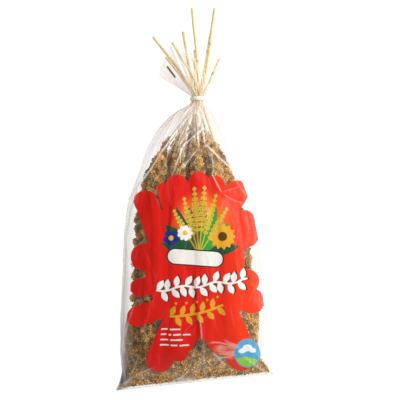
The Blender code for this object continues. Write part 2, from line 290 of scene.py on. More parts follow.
# random darker patches about 7 mm across: painted shade that stands for the gaps between grain masses
painted_gap_shade = ranged(tree, noise(tree, place, 150.0, 1.0), 0.36, 0.54, 0.40, 1.08)
grain_tone = sum_of(tree, "MULTIPLY_ADD", husk_speckle, HUSK_SPECKLE,
                    sum_of(tree, "SUBTRACT", tone, HUSK_SPECKLE / 2))
seed_ramp = add(tree, "ShaderNodeValToRGB", {"Fac": grain_tone})
ramp = seed_ramp.color_ramp
ramp.elements[0].position, ramp.elements[0].color = 0.0, (0.070, 0.036, 0.012, 1)
ramp.elements[1].position, ramp.elements[1].color = 1.0, (0.86, 0.59, 0.22, 1)
for position, colour in ((0.12, (0.17, 0.084, 0.020, 1)), (0.42, (0.44, 0.225, 0.050, 1)),
                         (0.78, (0.68, 0.37, 0.085, 1))):
    ramp.elements.new(position).color = colour
shade = sum_of(tree, "MULTIPLY_ADD", patch, 0.5, sum_of(tree, "MULTIPLY_ADD", clump, 0.70, 0.45))
seed_colour = mixed(tree, 1.0, seed_ramp.outputs["Color"], sum_of(tree, "MULTIPLY", shade, painted_gap_shade), "MULTIPLY")
seed_shader = add(tree, "ShaderNodeBsdfPrincipled", {
    "Base Color": seed_colour, "Specular IOR Level": 0.20,
    "Roughness": sum_of(tree, "MULTIPLY_ADD", husk_speckle, 0.35, 0.42)})
tree.links.new(seed_shader.outputs[0], end.inputs[0])
print("seed ramp has", len(ramp.elements), "colours")

# %% Helper: run a node tree on a piece and keep the result as a plain mesh
GRAIN_LENGTH = 1.22  # a grain is a little longer than it is wide


def socket_of(tree, name):
    """The identifier of an input: a modifier's values are set by it, not by the name."""
    return next(item.identifier for item in tree.interface.items_tree
                if item.item_type == "SOCKET" and item.in_out == "INPUT" and item.name == name)


def stored(tree, geometry, name, value, kind="FLOAT", domain="POINT"):
    """Geometry with a named value written on each of its elements."""
    plugs = {"Geometry": geometry, "Name": name, "Value": value}
    return add(tree, "GeometryNodeStoreNamedAttribute", plugs, data_type=kind, domain=domain)


def recalled(tree, name, kind="FLOAT"):
    """A named value that the geometry already carries."""
    return add(tree, "GeometryNodeInputNamedAttribute", {"Name": name}, data_type=kind).outputs[0]


def new_tree(name, **inputs):
    """A geometry tree with named inputs: a whole number, a decimal or a material."""
    tree = bpy.data.node_groups.new(name, "GeometryNodeTree")
    tree.interface.new_socket("Geometry", in_out="INPUT", socket_type="NodeSocketGeometry")
    tree.interface.new_socket("Geometry", in_out="OUTPUT", socket_type="NodeSocketGeometry")
    for label, value in inputs.items():
        kind = {int: "NodeSocketInt", float: "NodeSocketFloat"}.get(type(value), "NodeSocketMaterial")
        socket = tree.interface.new_socket(label, in_out="INPUT", socket_type=kind)
        if kind != "NodeSocketMaterial":
            socket.default_value = value
    return tree, tree.nodes.new("NodeGroupInput"), tree.nodes.new("NodeGroupOutput")


def grown(name, source, tree, **inputs):
    """The mesh that a tree grows from a source mesh, as a new object at the origin."""
    seedling = bpy.data.objects.new(name + "_guide", source)
    scene.collection.objects.link(seedling)
    grower = seedling.modifiers.new("grow", "NODES")
    grower.node_group = tree
    for label, value in inputs.items():
        grower[socket_of(tree, label)] = value
    bpy.context.view_layer.update()
    evaluated = seedling.evaluated_get(bpy.context.evaluated_depsgraph_get())
    mesh = bpy.data.meshes.new_from_object(evaluated)
    mesh.name = name
    bpy.data.objects.remove(seedling)
    made = bpy.data.objects.new(name, mesh)
    scene.collection.objects.link(made)
    return made


def guide_line(name, points, **values):
    """A polyline in metres, with a value at each point that a tree can read."""
    mesh = bpy.data.meshes.new(name)
    places = [tuple(p) for p in np.asarray(points) * MM]
    mesh.from_pydata(places, [(i, i + 1) for i in range(len(places) - 1)], [])
    for label, numbers in values.items():
        layer = mesh.attributes.new(label, "FLOAT", "POINT")
        layer.data.foreach_set("value", np.asarray(numbers, np.float32))
    return mesh


def close_tree(tree, result, geometry, material, smooth=False):
    """The end of every tree: real geometry instead of instances, and its material."""
    solid = add(tree, "GeometryNodeRealizeInstances", {"Geometry": geometry})
    if smooth:
        solid = add(tree, "GeometryNodeSetShadeSmooth", {"Geometry": solid})
    finished = add(tree, "GeometryNodeSetMaterial", {"Geometry": solid, "Material": material})
    tree.links.new(finished.outputs[0], result.inputs[0])


def crisp(piece):
    """Smooth shading that keeps the edges of cut ends and tape sharp."""
    piece.data.shade_smooth()
    piece.data.set_sharp_from_angle(angle=math.radians(50))


def grain_shape(tree, radius):
    """One grain: a ball of twenty faces, drawn out a little."""
    ball = add(tree, "GeometryNodeMeshIcoSphere", {"Radius": radius, "Subdivisions": 1})
    return add(tree, "GeometryNodeTransform", {
        "Geometry": ball.outputs["Mesh"], "Scale": (1, 1, GRAIN_LENGTH)})


# %% The tree that grows a seed head
GOLDEN_ANGLE = math.radians(137.508)
head_tree, given, result = new_tree(
    "seed_head", Clumps=150, Clump_Radius=4.8 * MM, Grains_In_Clump=28, Grain_Radius=1.2 * MM, Seed=1,
    Core=0.58, Material=None)


def random_value(tree, low, high, seed_offset):
    """A random number for each element, from the tree's own seed."""
    plugs = {2: low, 3: high, 8: sum_of(tree, "ADD", given.outputs["Seed"], seed_offset)}
    return add(tree, "FunctionNodeRandomValue", plugs, data_type="FLOAT").outputs[1]


def random_vector(tree, size, seed_offset):
    """A random vector for each element, each way up to size."""
    return add(tree, "FunctionNodeRandomValue", {
        0: (-size, -size, -size), 1: (size, size, size),
        8: sum_of(tree, "ADD", given.outputs["Seed"], seed_offset)}, data_type="FLOAT_VECTOR").outputs[0]


axis = add(head_tree, "GeometryNodeMeshToCurve", {"Mesh": given.outputs["Geometry"]})
stations = add(head_tree, "GeometryNodeCurveToPoints", {
    "Curve": axis, "Count": given.outputs["Clumps"]}, mode="COUNT")
along, sideways = stations.outputs["Tangent"], stations.outputs["Normal"]
index = add(head_tree, "GeometryNodeInputIndex")
angle = sum_of(head_tree, "MULTIPLY_ADD", index, GOLDEN_ANGLE, random_value(head_tree, -0.30, 0.30, 1))
across = vector_of(head_tree, "CROSS_PRODUCT", along, sideways)
part_one = vector_of(head_tree, "SCALE", sideways, scale=sum_of(head_tree, "COSINE", angle))
part_two = vector_of(head_tree, "SCALE", across, scale=sum_of(head_tree, "SINE", angle))
outwards = vector_of(head_tree, "ADD", part_one, part_two)
girth = recalled(head_tree, "girth")
largest = sum_of(head_tree, "MINIMUM", given.outputs["Clump_Radius"],
                 sum_of(head_tree, "MULTIPLY", girth, 0.55))
clump_size = sum_of(head_tree, "MULTIPLY", random_value(head_tree, 0.78, 1.16, 2), largest)
reach = sum_of(head_tree, "MULTIPLY", sum_of(head_tree, "SUBTRACT", girth, clump_size),
               random_value(head_tree, 0.82, 1.02, 3))
clumps = add(head_tree, "GeometryNodeSetPosition", {
    "Geometry": stations.outputs["Points"], "Offset": vector_of(head_tree, "SCALE", outwards, scale=reach)})
with_centre = stored(head_tree, clumps, "centre", add(head_tree, "GeometryNodeInputPosition"), "FLOAT_VECTOR")
with_clump = stored(head_tree, with_centre, "clump", random_value(head_tree, 0.0, 1.0, 4))

# seats for the grains: a dome in the same spiral, a little more than half a ball
seat_share = sum_of(head_tree, "DIVIDE", sum_of(head_tree, "ADD", index, 0.5),
                    given.outputs["Grains_In_Clump"])
seat_up = sum_of(head_tree, "MULTIPLY_ADD", seat_share, -1.15, 1.0)
seat_out = sum_of(head_tree, "SQRT", sum_of(
    head_tree, "SUBTRACT", 1.0, sum_of(head_tree, "POWER", seat_up, 2.0)))
seat_turn = sum_of(head_tree, "MULTIPLY", index, GOLDEN_ANGLE)
seat_place = add(head_tree, "ShaderNodeCombineXYZ", {
    0: sum_of(head_tree, "MULTIPLY", seat_out, sum_of(head_tree, "COSINE", seat_turn)),
    1: sum_of(head_tree, "MULTIPLY", seat_out, sum_of(head_tree, "SINE", seat_turn)), 2: seat_up})
seats = add(head_tree, "GeometryNodePoints", {
    "Count": given.outputs["Grains_In_Clump"], "Position": seat_place})
seat_points = stored(head_tree, seats, "up", seat_up)
facing = vector_of(head_tree, "ADD", outwards, vector_of(head_tree, "SCALE", along, scale=0.35))
clump_turn = add(head_tree, "FunctionNodeAlignRotationToVector", {"Vector": facing}, axis="Z")
seated = add(head_tree, "GeometryNodeInstanceOnPoints", {
    "Points": with_clump, "Instance": seat_points, "Rotation": clump_turn, "Scale": clump_size})
free_seats = add(head_tree, "GeometryNodeRealizeInstances", {"Geometry": seated})
loosened = add(head_tree, "GeometryNodeSetPosition", {
    "Geometry": free_seats, "Offset": random_vector(head_tree, 0.4 * MM, 5)})
from_centre = vector_of(head_tree, "SUBTRACT", add(head_tree, "GeometryNodeInputPosition"),
                        recalled(head_tree, "centre", "FLOAT_VECTOR"))
grain_turn = add(head_tree, "FunctionNodeAlignRotationToVector", {"Vector": from_centre}, axis="Z")
grains = add(head_tree, "GeometryNodeInstanceOnPoints", {
    "Points": loosened, "Instance": grain_shape(head_tree, given.outputs["Grain_Radius"]),
    "Rotation": grain_turn, "Scale": random_value(head_tree, 0.82, 1.16, 6)})
# grains darker towards the rim of their clump: painted shade between clumps, added to a random tone
grain_tones_with_rim_shade = sum_of(head_tree, "MULTIPLY_ADD", recalled(head_tree, "up"), 0.30,
                     random_value(head_tree, 0.44, 0.62, 7))
toned = stored(head_tree, grains, "tone", grain_tones_with_rim_shade, domain="INSTANCE")

# the brown heart of each clump, and the core of the head
heart_ball = add(head_tree, "GeometryNodeMeshIcoSphere", {"Radius": 0.93, "Subdivisions": 2})
hearts = add(head_tree, "GeometryNodeInstanceOnPoints", {
    "Points": with_clump, "Instance": heart_ball.outputs["Mesh"], "Rotation": clump_turn,
    "Scale": clump_size})
brown_hearts = stored(head_tree, hearts, "tone", 0.56, domain="INSTANCE")
# the core stores no tone, so it takes the ramp's darkest brown: painted shade in the gaps between clumps
core_ring = add(head_tree, "GeometryNodeCurvePrimitiveCircle", {"Resolution": 10, "Radius": 1.0})
core = add(head_tree, "GeometryNodeCurveToMesh", {
    "Curve": axis, "Profile Curve": core_ring.outputs["Curve"], "Fill Caps": True,
    "Scale": sum_of(head_tree, "MULTIPLY", girth, given.outputs["Core"])})
together = add(head_tree, "GeometryNodeJoinGeometry")
for one in (toned, brown_hearts, core):
    head_tree.links.new(one.outputs[0], together.inputs[0])
close_tree(head_tree, result, together, given.outputs["Material"], smooth=True)
print("head tree has", len(head_tree.nodes), "nodes")

# %% Grow the nine heads
UPPER_CLUMPS, LOWER_CLUMPS = 156, 130
heads = []
for number, spray in enumerate(SPRAYS, start=1):
    points, radii = head_axis(spray)
    seen = spray[3] == UPPER
    head = grown(
        f"seed_head_{number}", guide_line("head_axis", points, girth=radii * MM), head_tree,
        Clumps=UPPER_CLUMPS if seen else LOWER_CLUMPS, Clump_Radius=(4.8 if seen else 5.0) * MM,
        Grains_In_Clump=28 if seen else 25, Seed=10 * number, Material=seed_material)
    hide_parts(f"millet_head_{number}")
    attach(head, "root")
    heads.append(head)
print("heads:", len(heads), "with", sum(len(one.data.polygons) for one in heads), "faces")

# %% [markdown]
# ## Loose seed
#
# Dry heads shed. The loose grains slide to the bottom of the bag and out into both corners of its seal. A
# low heap with a bumpy top is the ground, and the same kind of grain is scattered over it.

# %% The heap under the loose grains
HEAP_ROWS = (  # run, how far the heap lies under the film's top, share of the bag's width
    (3.6, 0.0, 1.0), (6.0, 0.0, 1.0), (9.0, 0.0, 1.0), (13.0, 0.2, 1.0), (18.0, 0.8, 0.99), (24.0, 2.5, 0.98),
    (31.0, 6.0, 0.97), (39.0, 11.0, 0.975), (48.0, 17.0, 0.975), (58.0, 22.0, 0.975), (67.0, 25.0, 0.975),
    (76.0, 28.0, 0.97), (84.0, 32.0, 0.955), (90.0, 39.0, 0.91), (94.0, 46.0, 0.78),
)
HEAP_SIDES = 96
HEAP_SHY = 1.9
rng = np.random.default_rng(5)


def bent(value, power):
    """A signed power: it turns a circle into a squarer section."""
    return np.sign(value) * np.abs(value) ** power


def heap_ring(run, cover, width_share):
    """A ring of the heap at a run: the bag's own section, drawn in so that grains fit under the film."""
    centre, half, low, high, square = (float(v[0]) for v in bag_sections(run))
    low = max(low, 0)
    shy = min(HEAP_SHY, 0.35 * (high - low))
    bottom, top = low + shy, max(high - shy - cover, low + shy + 0.4)
    crease = bottom + CREASE_HEIGHT * (top - bottom)
    turn = 2 * math.pi * np.arange(HEAP_SIDES) / HEAP_SIDES
    size = 1 - 0.015 * rng.random(HEAP_SIDES)
    x = centre + (half * width_share - shy) * bent(np.cos(turn), 2 / square) * size
    up = bent(np.sin(turn), 2 / square) * size
    z = crease + np.where(up > 0, (top - crease) * up, (crease - bottom) * up)
    return np.column_stack((x, slanted_y(run, x), z))


def ring_mesh(name, rings):
    """A closed mesh through rings of points, with a fan of faces over each end."""
    count = len(rings[0])
    points = np.concatenate([rings[0].mean(axis=0)[None], *rings, rings[-1].mean(axis=0)[None]]) * MM
    faces = []
    for row in range(len(rings) - 1):
        for k in range(count):
            a, b = 1 + row * count + k, 1 + row * count + (k + 1) % count
            faces.append((a, b, b + count, a + count))
    last = 1 + (len(rings) - 1) * count
    faces += [(0, 1 + (k + 1) % count, 1 + k) for k in range(count)]
    faces += [(last + count, last + k, last + (k + 1) % count) for k in range(count)]
    mesh = bpy.data.meshes.new(name)
    mesh.from_pydata([tuple(p) for p in points], [], faces)
    return mesh


heap = ring_mesh("heap", [heap_ring(*row) for row in HEAP_ROWS])
print("heap has", len(heap.polygons), "faces")

# %% The tree that scatters loose grains
heap_tree, given, result = new_tree(
    "loose_grains", Density=200000.0, Grain_Radius=1.15 * MM, Seed=3, Material=None)
scattered = add(heap_tree, "GeometryNodeDistributePointsOnFaces", {
    "Mesh": given.outputs["Geometry"], "Density": given.outputs["Density"], "Seed": given.outputs["Seed"]},
    distribute_method="RANDOM")
lifted = add(heap_tree, "GeometryNodeSetPosition", {
    "Geometry": scattered.outputs["Points"], "Offset": random_vector(heap_tree, 0.6 * MM, 1)})
tumbled = add(heap_tree, "FunctionNodeRandomValue", {
    0: (0, 0, 0), 1: (6.28, 6.28, 6.28), 8: given.outputs["Seed"]}, data_type="FLOAT_VECTOR")
grains = add(heap_tree, "GeometryNodeInstanceOnPoints", {
    "Points": lifted, "Instance": grain_shape(heap_tree, given.outputs["Grain_Radius"]),
    "Rotation": tumbled.outputs[0], "Scale": random_value(heap_tree, 0.7, 1.15, 2)})
toned = stored(heap_tree, grains, "tone", random_value(heap_tree, 0.45, 0.96, 3), domain="INSTANCE")
clumped = stored(heap_tree, toned, "clump", random_value(heap_tree, 0.35, 1.0, 4), domain="INSTANCE")
ground = stored(heap_tree, given.outputs["Geometry"], "tone", 0.34)
ground = stored(heap_tree, ground, "clump", 0.5)
together = add(heap_tree, "GeometryNodeJoinGeometry")
for one in (clumped, ground):
    heap_tree.links.new(one.outputs[0], together.inputs[0])
close_tree(heap_tree, result, together, given.outputs["Material"], smooth=True)

loose = grown("loose_grains", heap, heap_tree, Material=seed_material)
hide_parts("loose_seed")
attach(loose, "root")
print("loose grains:", len(loose.data.polygons), "faces")

# %% [markdown]
# ## Straw stalks
#
# Each head hangs on its own stalk of straw, about 3 mm thick, thicker at its joints and towards the end
# where it was cut. A stalk follows a line from its head through the neck to its cut end, and the nine cross
# in the neck like a sheaf. Curve to Mesh sweeps a fluted ring along the line, and the radius swells at each
# joint. The same tree, with a smaller radius, makes one thin broken straw that lies on a head.

# %% Lines of the stalks
MEETING_GAP, STALK_COLLAR = 0.35, 1.6
STALK_STEPS = 12


def stalk_line(spray):
    """Points down a stalk, from its cut end through the neck to its head, in millimetres."""
    neck_turn, neck_place, side, layer, base, _, cut_end = spray
    turn = math.radians(neck_turn)
    waist = NECK + neck_place * np.array((math.cos(turn), 0, math.sin(turn)))
    cut = NECK + np.array(cut_end)
    run = base + MEETING_GAP
    centre, half, low, high, _ = (float(v[0]) for v in bag_sections(run))
    x = centre + side * half
    foot = np.array((x, slanted_y(run, x), max(low, 0) + layer * (high - max(low, 0))))
    upper, lower = np.linalg.norm(cut - waist), np.linalg.norm(foot - waist)
    through = (waist - cut) / upper + (foot - waist) / lower
    through /= np.linalg.norm(through)
    line = []
    for start, stop, heading_in, heading_out, length in (
            (cut, waist, (waist - cut) / upper, through, upper),
            (waist, foot, through, (foot - waist) / lower, lower)):
        for step in range(STALK_STEPS // 2 + 1):
            t = step / (STALK_STEPS // 2)
            line.append((2 * t**3 - 3 * t**2 + 1) * start + (t**3 - 2 * t**2 + t) * length * heading_in
                        + (3 * t**2 - 2 * t**3) * stop + (t**3 - t**2) * length * heading_out)
    collar = line[-1] + np.array((0, STALK_COLLAR, 0))
    return np.array(line[: STALK_STEPS // 2] + line[STALK_STEPS // 2 + 1 : -1] + [collar, line[-1]])


print("stalk 1 starts at", stalk_line(SPRAYS[0])[0].round(1))

# %% Colour of straw
straw_material, tree, end = blank_material("straw")
place = add(tree, "ShaderNodeTexCoord").outputs["Object"]
along_straw = add(tree, "ShaderNodeMapping", {"Vector": place, "Scale": (900.0, 45.0, 900.0)})
fibres = noise(tree, along_straw, 1.0, 3.0)
spots = noise(tree, place, 60.0, 3.0)
joint = add(tree, "ShaderNodeAttribute", attribute_name="joint").outputs["Fac"]
straw_ramp = add(tree, "ShaderNodeValToRGB", {"Fac": fibres})
ramp = straw_ramp.color_ramp
ramp.elements[0].position, ramp.elements[0].color = 0.25, (0.84, 0.65, 0.32, 1)
ramp.elements[1].position, ramp.elements[1].color = 0.75, (0.99, 0.86, 0.50, 1)
spot_share = sum_of(tree, "MULTIPLY", sum_of(tree, "GREATER_THAN", spots, 0.64), 0.25)
spotted = mixed(tree, spot_share, straw_ramp.outputs["Color"], (0.36, 0.22, 0.09, 1))
jointed = mixed(tree, sum_of(tree, "MULTIPLY", joint, 0.55), spotted, (0.40, 0.25, 0.10, 1))
ribbing = add(tree, "ShaderNodeBump", {"Height": fibres, "Strength": 0.35, "Distance": 0.3 * MM})
straw_shader = add(tree, "ShaderNodeBsdfPrincipled", {
    "Base Color": jointed, "Normal": ribbing, "Specular IOR Level": 0.4,
    "Roughness": sum_of(tree, "MULTIPLY_ADD", fibres, 0.3, 0.32)})
tree.links.new(straw_shader.outputs[0], end.inputs[0])
print("straw ramp has", len(ramp.elements), "colours")

# %% The tree that sweeps a stalk
RING_SIDES, FLUTES = 24, 8
stalk_tree, given, result = new_tree(
    "straw_stalk", Radius=1.45 * MM, Butt=1.2, Joint_Spacing=64 * MM, Joint_Shift=10 * MM,
    Joint_Length=1.7 * MM, Swelling=0.20, Flute=0.05, Material=None)
line = add(stalk_tree, "GeometryNodeMeshToCurve", {"Mesh": given.outputs["Geometry"]})
line = add(stalk_tree, "GeometryNodeResampleCurve", {"Curve": line, "Count": 150})
walked = add(stalk_tree, "GeometryNodeSplineParameter")
to_joint = sum_of(stalk_tree, "PINGPONG",
                  sum_of(stalk_tree, "ADD", walked.outputs["Length"], given.outputs["Joint_Shift"]),
                  given.outputs["Joint_Spacing"])
nearness = sum_of(stalk_tree, "DIVIDE", to_joint, given.outputs["Joint_Length"])
bell = sum_of(stalk_tree, "EXPONENT", sum_of(
    stalk_tree, "MULTIPLY", sum_of(stalk_tree, "POWER", nearness, 2.0), -1.0))
taper = ranged(stalk_tree, walked.outputs["Factor"], 0.0, 0.5, given.outputs["Butt"], 1.0)
swollen = sum_of(stalk_tree, "MULTIPLY",
                 sum_of(stalk_tree, "MULTIPLY", given.outputs["Radius"], taper),
                 sum_of(stalk_tree, "MULTIPLY_ADD", bell, given.outputs["Swelling"], 1.0))
marked = stored(stalk_tree, line, "joint", bell)
ring = add(stalk_tree, "GeometryNodeCurvePrimitiveCircle", {"Resolution": RING_SIDES, "Radius": 1.0})
round_turn = sum_of(stalk_tree, "MULTIPLY", add(stalk_tree, "GeometryNodeInputIndex"),
                    FLUTES * math.tau / RING_SIDES)
flute = sum_of(stalk_tree, "MULTIPLY_ADD", sum_of(stalk_tree, "COSINE", round_turn),
               given.outputs["Flute"], 1.0)
fluted = add(stalk_tree, "GeometryNodeSetPosition", {
    "Geometry": ring.outputs["Curve"],
    "Position": vector_of(stalk_tree, "SCALE", add(stalk_tree, "GeometryNodeInputPosition"), scale=flute)})
swept = add(stalk_tree, "GeometryNodeCurveToMesh", {
    "Curve": marked, "Profile Curve": fluted, "Fill Caps": True, "Scale": swollen})
close_tree(stalk_tree, result, swept, given.outputs["Material"])

BUTTS = (1.15, 1.0, 1.25, 1.05, 1.32, 1.1, 1.25, 1.1, 0.9)  # how thick each cut end is
stalks = []
for number, spray in enumerate(SPRAYS, start=1):
    stalk = grown(f"straw_{number}", guide_line("stalk_line", stalk_line(spray)), stalk_tree,
                  Butt=BUTTS[number - 1], Joint_Shift=(7.0 + 11.3 * number) * MM, Material=straw_material)
    crisp(stalk)
    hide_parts(f"stalk_{number}")
    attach(stalk, "root")
    stalks.append(stalk)
print("stalks:", len(stalks), "with", sum(len(one.data.polygons) for one in stalks), "faces")

# %% A thin straw that lies over the heads
under_points, under_radii = head_axis(SPRAYS[5])


def on_head(along_y, aside):
    """A point on the upper side of the head under the straw, a little way from its crest."""
    at = np.argmin(np.abs(under_points[:, 1] - along_y))
    return under_points[at] + np.array((aside, 0, math.sqrt(under_radii[at] ** 2 - aside**2) + 0.5))


upper_end, lower_end = on_head(85, -2.8), on_head(43, 2.5)
fallen_line = upper_end + (lower_end - upper_end) * np.linspace(0, 1, 12)[:, None]
fallen = grown("fallen_straw", guide_line("fallen_line", fallen_line), stalk_tree, Radius=0.75 * MM,
               Joint_Shift=20 * MM, Material=straw_material)
crisp(fallen)
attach(fallen, "root")
print("thin straw from", upper_end.round(1), "to", lower_end.round(1))

# %% [markdown]
# ## Tie
#
# A narrow cream tape goes twice and a bit round the neck, over the gathered film. A flat profile swept along
# a spiral gives the layers and their edges, which a plain ring would lack.

# %% Cream tape
tie_material, tree, end = blank_material("cream_tape")
place = add(tree, "ShaderNodeTexCoord").outputs["Object"]
scuffs = noise(tree, place, 420.0, 3.0)
tape_bump = add(tree, "ShaderNodeBump", {"Height": scuffs, "Strength": 0.2, "Distance": 0.15 * MM})
tape_shader = add(tree, "ShaderNodeBsdfPrincipled", {
    "Base Color": mixed(tree, scuffs, (0.99, 0.90, 0.70, 1), (1.0, 0.96, 0.83, 1)), "Normal": tape_bump,
    "Roughness": sum_of(tree, "MULTIPLY_ADD", scuffs, 0.25, 0.28)})
tree.links.new(tape_shader.outputs[0], end.inputs[0])

tie_tree, given, result = new_tree(
    "wound_tape", Inner_Radius=9.0 * MM, Outer_Radius=9.85 * MM, Turns=2.35, Width=3.9 * MM,
    Thickness=0.42 * MM, Climb=0.45 * MM, Material=None)
coil = add(tie_tree, "GeometryNodeCurveSpiral", {
    "Resolution": 48, "Rotations": given.outputs["Turns"], "Start Radius": given.outputs["Inner_Radius"],
    "End Radius": given.outputs["Outer_Radius"], "Height": given.outputs["Climb"]})
upright = add(tie_tree, "GeometryNodeSetCurveNormal", {"Curve": coil}, mode="Z_UP")
strip = add(tie_tree, "GeometryNodeCurvePrimitiveQuadrilateral", {
    "Width": given.outputs["Thickness"], "Height": given.outputs["Width"]})
rounded = add(tie_tree, "GeometryNodeFilletCurve", {
    "Curve": strip, "Count": 2, "Radius": 0.12 * MM}, mode="POLY")
tape = add(tie_tree, "GeometryNodeCurveToMesh", {
    "Curve": upright, "Profile Curve": rounded, "Fill Caps": True})
turned = add(tie_tree, "GeometryNodeTransform", {
    "Geometry": tape, "Translation": Vector(NECK) * MM, "Rotation": (math.radians(-90), 0, 0)})
close_tree(tie_tree, result, turned, given.outputs["Material"])
tie = grown("wound_tie", guide_line("tie_seed", [(0, 0, 0), (0, 0, 1)]), tie_tree, Material=tie_material)
crisp(tie)
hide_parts("tie")
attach(tie, "root")
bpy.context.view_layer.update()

# %% [markdown]
# ## Film bag
#
# The film is thin, clear and crumpled. It sags between the heads, gathers in pleats at the neck and flares
# out above the tie. One fine grid of points follows the bag's sections, so that its folds are real shapes
# that catch the light. Folds are ridges and hollows pushed along the film's own normal. Where a fold is
# sharp the film turns whitish, and the shader paints a highlight there as well, so every fold also leaves a
# mark in an attribute for the shader.

# %% The grid: columns round the bag, rows from the seal to the rim of the frill
TOP_COLUMNS, UNDER_COLUMNS = 190, 60
COLUMNS = TOP_COLUMNS + UNDER_COLUMNS
ROW_STEP = 1.28
NECK_RADIUS, NECK_HALF_LENGTH = 8.2, 3.4
BAG_TOP_RUN = 341.6
SEAL_WIDTH = 4.0
bag_runs = np.concatenate((
    np.linspace(0, SEAL_WIDTH, 6)[:-1], np.arange(SEAL_WIDTH, BAG_TOP_RUN, ROW_STEP)))


def evenly_round(curve_x, curve_z, count):
    """Points at equal steps along a fine curve, without its last point."""
    steps = np.concatenate(([0], np.cumsum(np.hypot(np.diff(curve_x), np.diff(curve_z)))))
    at = np.linspace(0, steps[-1], count + 1)[:-1]
    return np.interp(at, steps, curve_x), np.interp(at, steps, curve_z)


def film_ring(run):
    """One row of the film round the filled bag: over the top from left to right, then back underneath."""
    centre, half, low, high, square = (float(v[0]) for v in bag_sections(run))
    crease = max(low, 0) + CREASE_HEIGHT * (high - max(low, 0))
    turn = np.linspace(0, math.pi, 400)
    x = -np.sign(np.cos(turn)) * np.abs(np.cos(turn)) ** (2 / square)
    up = np.sin(turn) ** (2 / square)
    top_x, top_z = evenly_round(centre + half * x, crease + (high - crease) * up, TOP_COLUMNS)
    low_x, low_z = evenly_round(centre - half * x, crease - (crease - low) * up, UNDER_COLUMNS)
    x, z = np.concatenate((top_x, low_x)), np.maximum(np.concatenate((top_z, low_z)), 0)
    weld = min(run / SEAL_WIDTH, 1) ** 2  # the two layers of film are welded together in the seal
    z = crease + (z - crease) * max(weld, 0.12)
    return np.column_stack((x, slanted_y(run, x), z))


neck_turn = np.concatenate((math.pi * (1 - np.arange(TOP_COLUMNS) / TOP_COLUMNS),
                            -math.pi * np.arange(UNDER_COLUMNS) / UNDER_COLUMNS))
bag_rows = np.array([film_ring(run) for run in bag_runs])
print("filled part:", bag_rows.shape[:2], "points")

# %% The gathered neck
SHOULDER_RUN = 322  # from here on the film draws together into the neck
NECK_PLEAT = 0.055
pleats = sum(size * np.cos(count * neck_turn + shift)
             for count, size, shift in ((9, 0.30, 0.4), (14, 0.30, 2.1), (23, 0.28, 0.9), (31, 0.16, 4.0)))


def neck_ring(along):
    """A pleated ring of film at a distance along the neck."""
    size = NECK_RADIUS * (1 + NECK_PLEAT * pleats)
    return NECK + np.column_stack((
        size * np.cos(neck_turn), np.full(COLUMNS, along), size * np.sin(neck_turn)))


into_neck = np.clip((bag_runs - SHOULDER_RUN) / (BAG_TOP_RUN - SHOULDER_RUN), 0, 1) ** 2
round_neck = np.array([neck_ring(run - BAG_TOP_RUN - NECK_HALF_LENGTH) for run in bag_runs])
bag_rows += into_neck[:, None, None] * (round_neck - bag_rows)
neck_rows = np.array([neck_ring(along) for along in np.linspace(-NECK_HALF_LENGTH, NECK_HALF_LENGTH, 6)])
print("pleats swing", round(float(np.ptp(pleats)) * NECK_PLEAT * NECK_RADIUS, 2), "mm")

# %% The frill above the tie
FRILL_LOW_RIM = np.array((20.0, 137.0, 20.0))
FRILL_HIGH_RIM_Y = 184.0
FRILL_LEFT_RIM = np.array((-42.6, 150.0, 20.0))
FRILL_DROOP_POWER = 4.5
FRILL_HALF_DEPTH = 17.0
FRILL_ROWS = 40
left = (1 - np.cos(neck_turn)) / 2
climb = np.sin(math.pi / 2 * np.minimum(1, 1.6 * left))
droop = np.maximum(0, left - 0.6) / 0.4
rim = np.column_stack((
    FRILL_LOW_RIM[0] + (FRILL_LEFT_RIM[0] - FRILL_LOW_RIM[0]) * left,
    FRILL_LOW_RIM[1] + (FRILL_HIGH_RIM_Y - FRILL_LOW_RIM[1]) * climb
    - (FRILL_HIGH_RIM_Y - FRILL_LEFT_RIM[1]) * droop**FRILL_DROOP_POWER + 1.6 * pleats,
    NECK[2] + FRILL_HALF_DEPTH * np.sin(neck_turn)))
bend = neck_rows[-1] + np.column_stack((
    np.cos(neck_turn) * (4 + 24 * left), 6 + 12 * left, np.sin(neck_turn) * 9))
frill_rows = []
for t in np.linspace(0, 1, FRILL_ROWS + 1)[1:]:
    row = (1 - t) ** 2 * neck_rows[-1] + 2 * t * (1 - t) * bend + t * t * rim
    outward = np.column_stack((0.3 * np.cos(neck_turn), np.zeros(COLUMNS), np.sin(neck_turn)))
    frill_rows.append(row + outward * (pleats * 2.6 * t)[:, None])
rows = np.concatenate((bag_rows, neck_rows, np.array(frill_rows)))
FRILL_RUN = 400.0  # a mark for the rows of the frill, beyond every run of the bag
row_runs = np.concatenate((
    bag_runs, np.full(len(neck_rows), BAG_TOP_RUN), np.full(FRILL_ROWS, FRILL_RUN)))
print("whole film:", rows.shape[:2], "points")

# %% [markdown]
# ## Folds
#
# Folds are listed on a plan of the bag, as seen from the camera. One unit of the plan is 1.2 mm, counted from
# the top left corner of the picture, as a printer counts a sheet. The same plan serves for the print.

# %% The plan, and a fold on it
PLAN_UNIT = 1.2
height_share = (camera_distance / MM - (rows[..., 2] - WIDEST_HEIGHT / MM)) / (camera_distance / MM)
plan_x = 200 + (rows[..., 0] - FRAME_MIDDLE.x / MM) / (PLAN_UNIT * height_share)
plan_y = 200 - (rows[..., 1] - FRAME_MIDDLE.y / MM) / (PLAN_UNIT * height_share)
is_top = np.zeros(rows.shape[:2])
is_top[:, 2:TOP_COLUMNS - 1] = 1
below_neck = (row_runs < BAG_TOP_RUN)[:, None]
relief = np.zeros(rows.shape[:2])
# where each fold is sharp: the whitening of creased film, and a painted highlight
crease_white_and_highlight = np.zeros(rows.shape[:2])


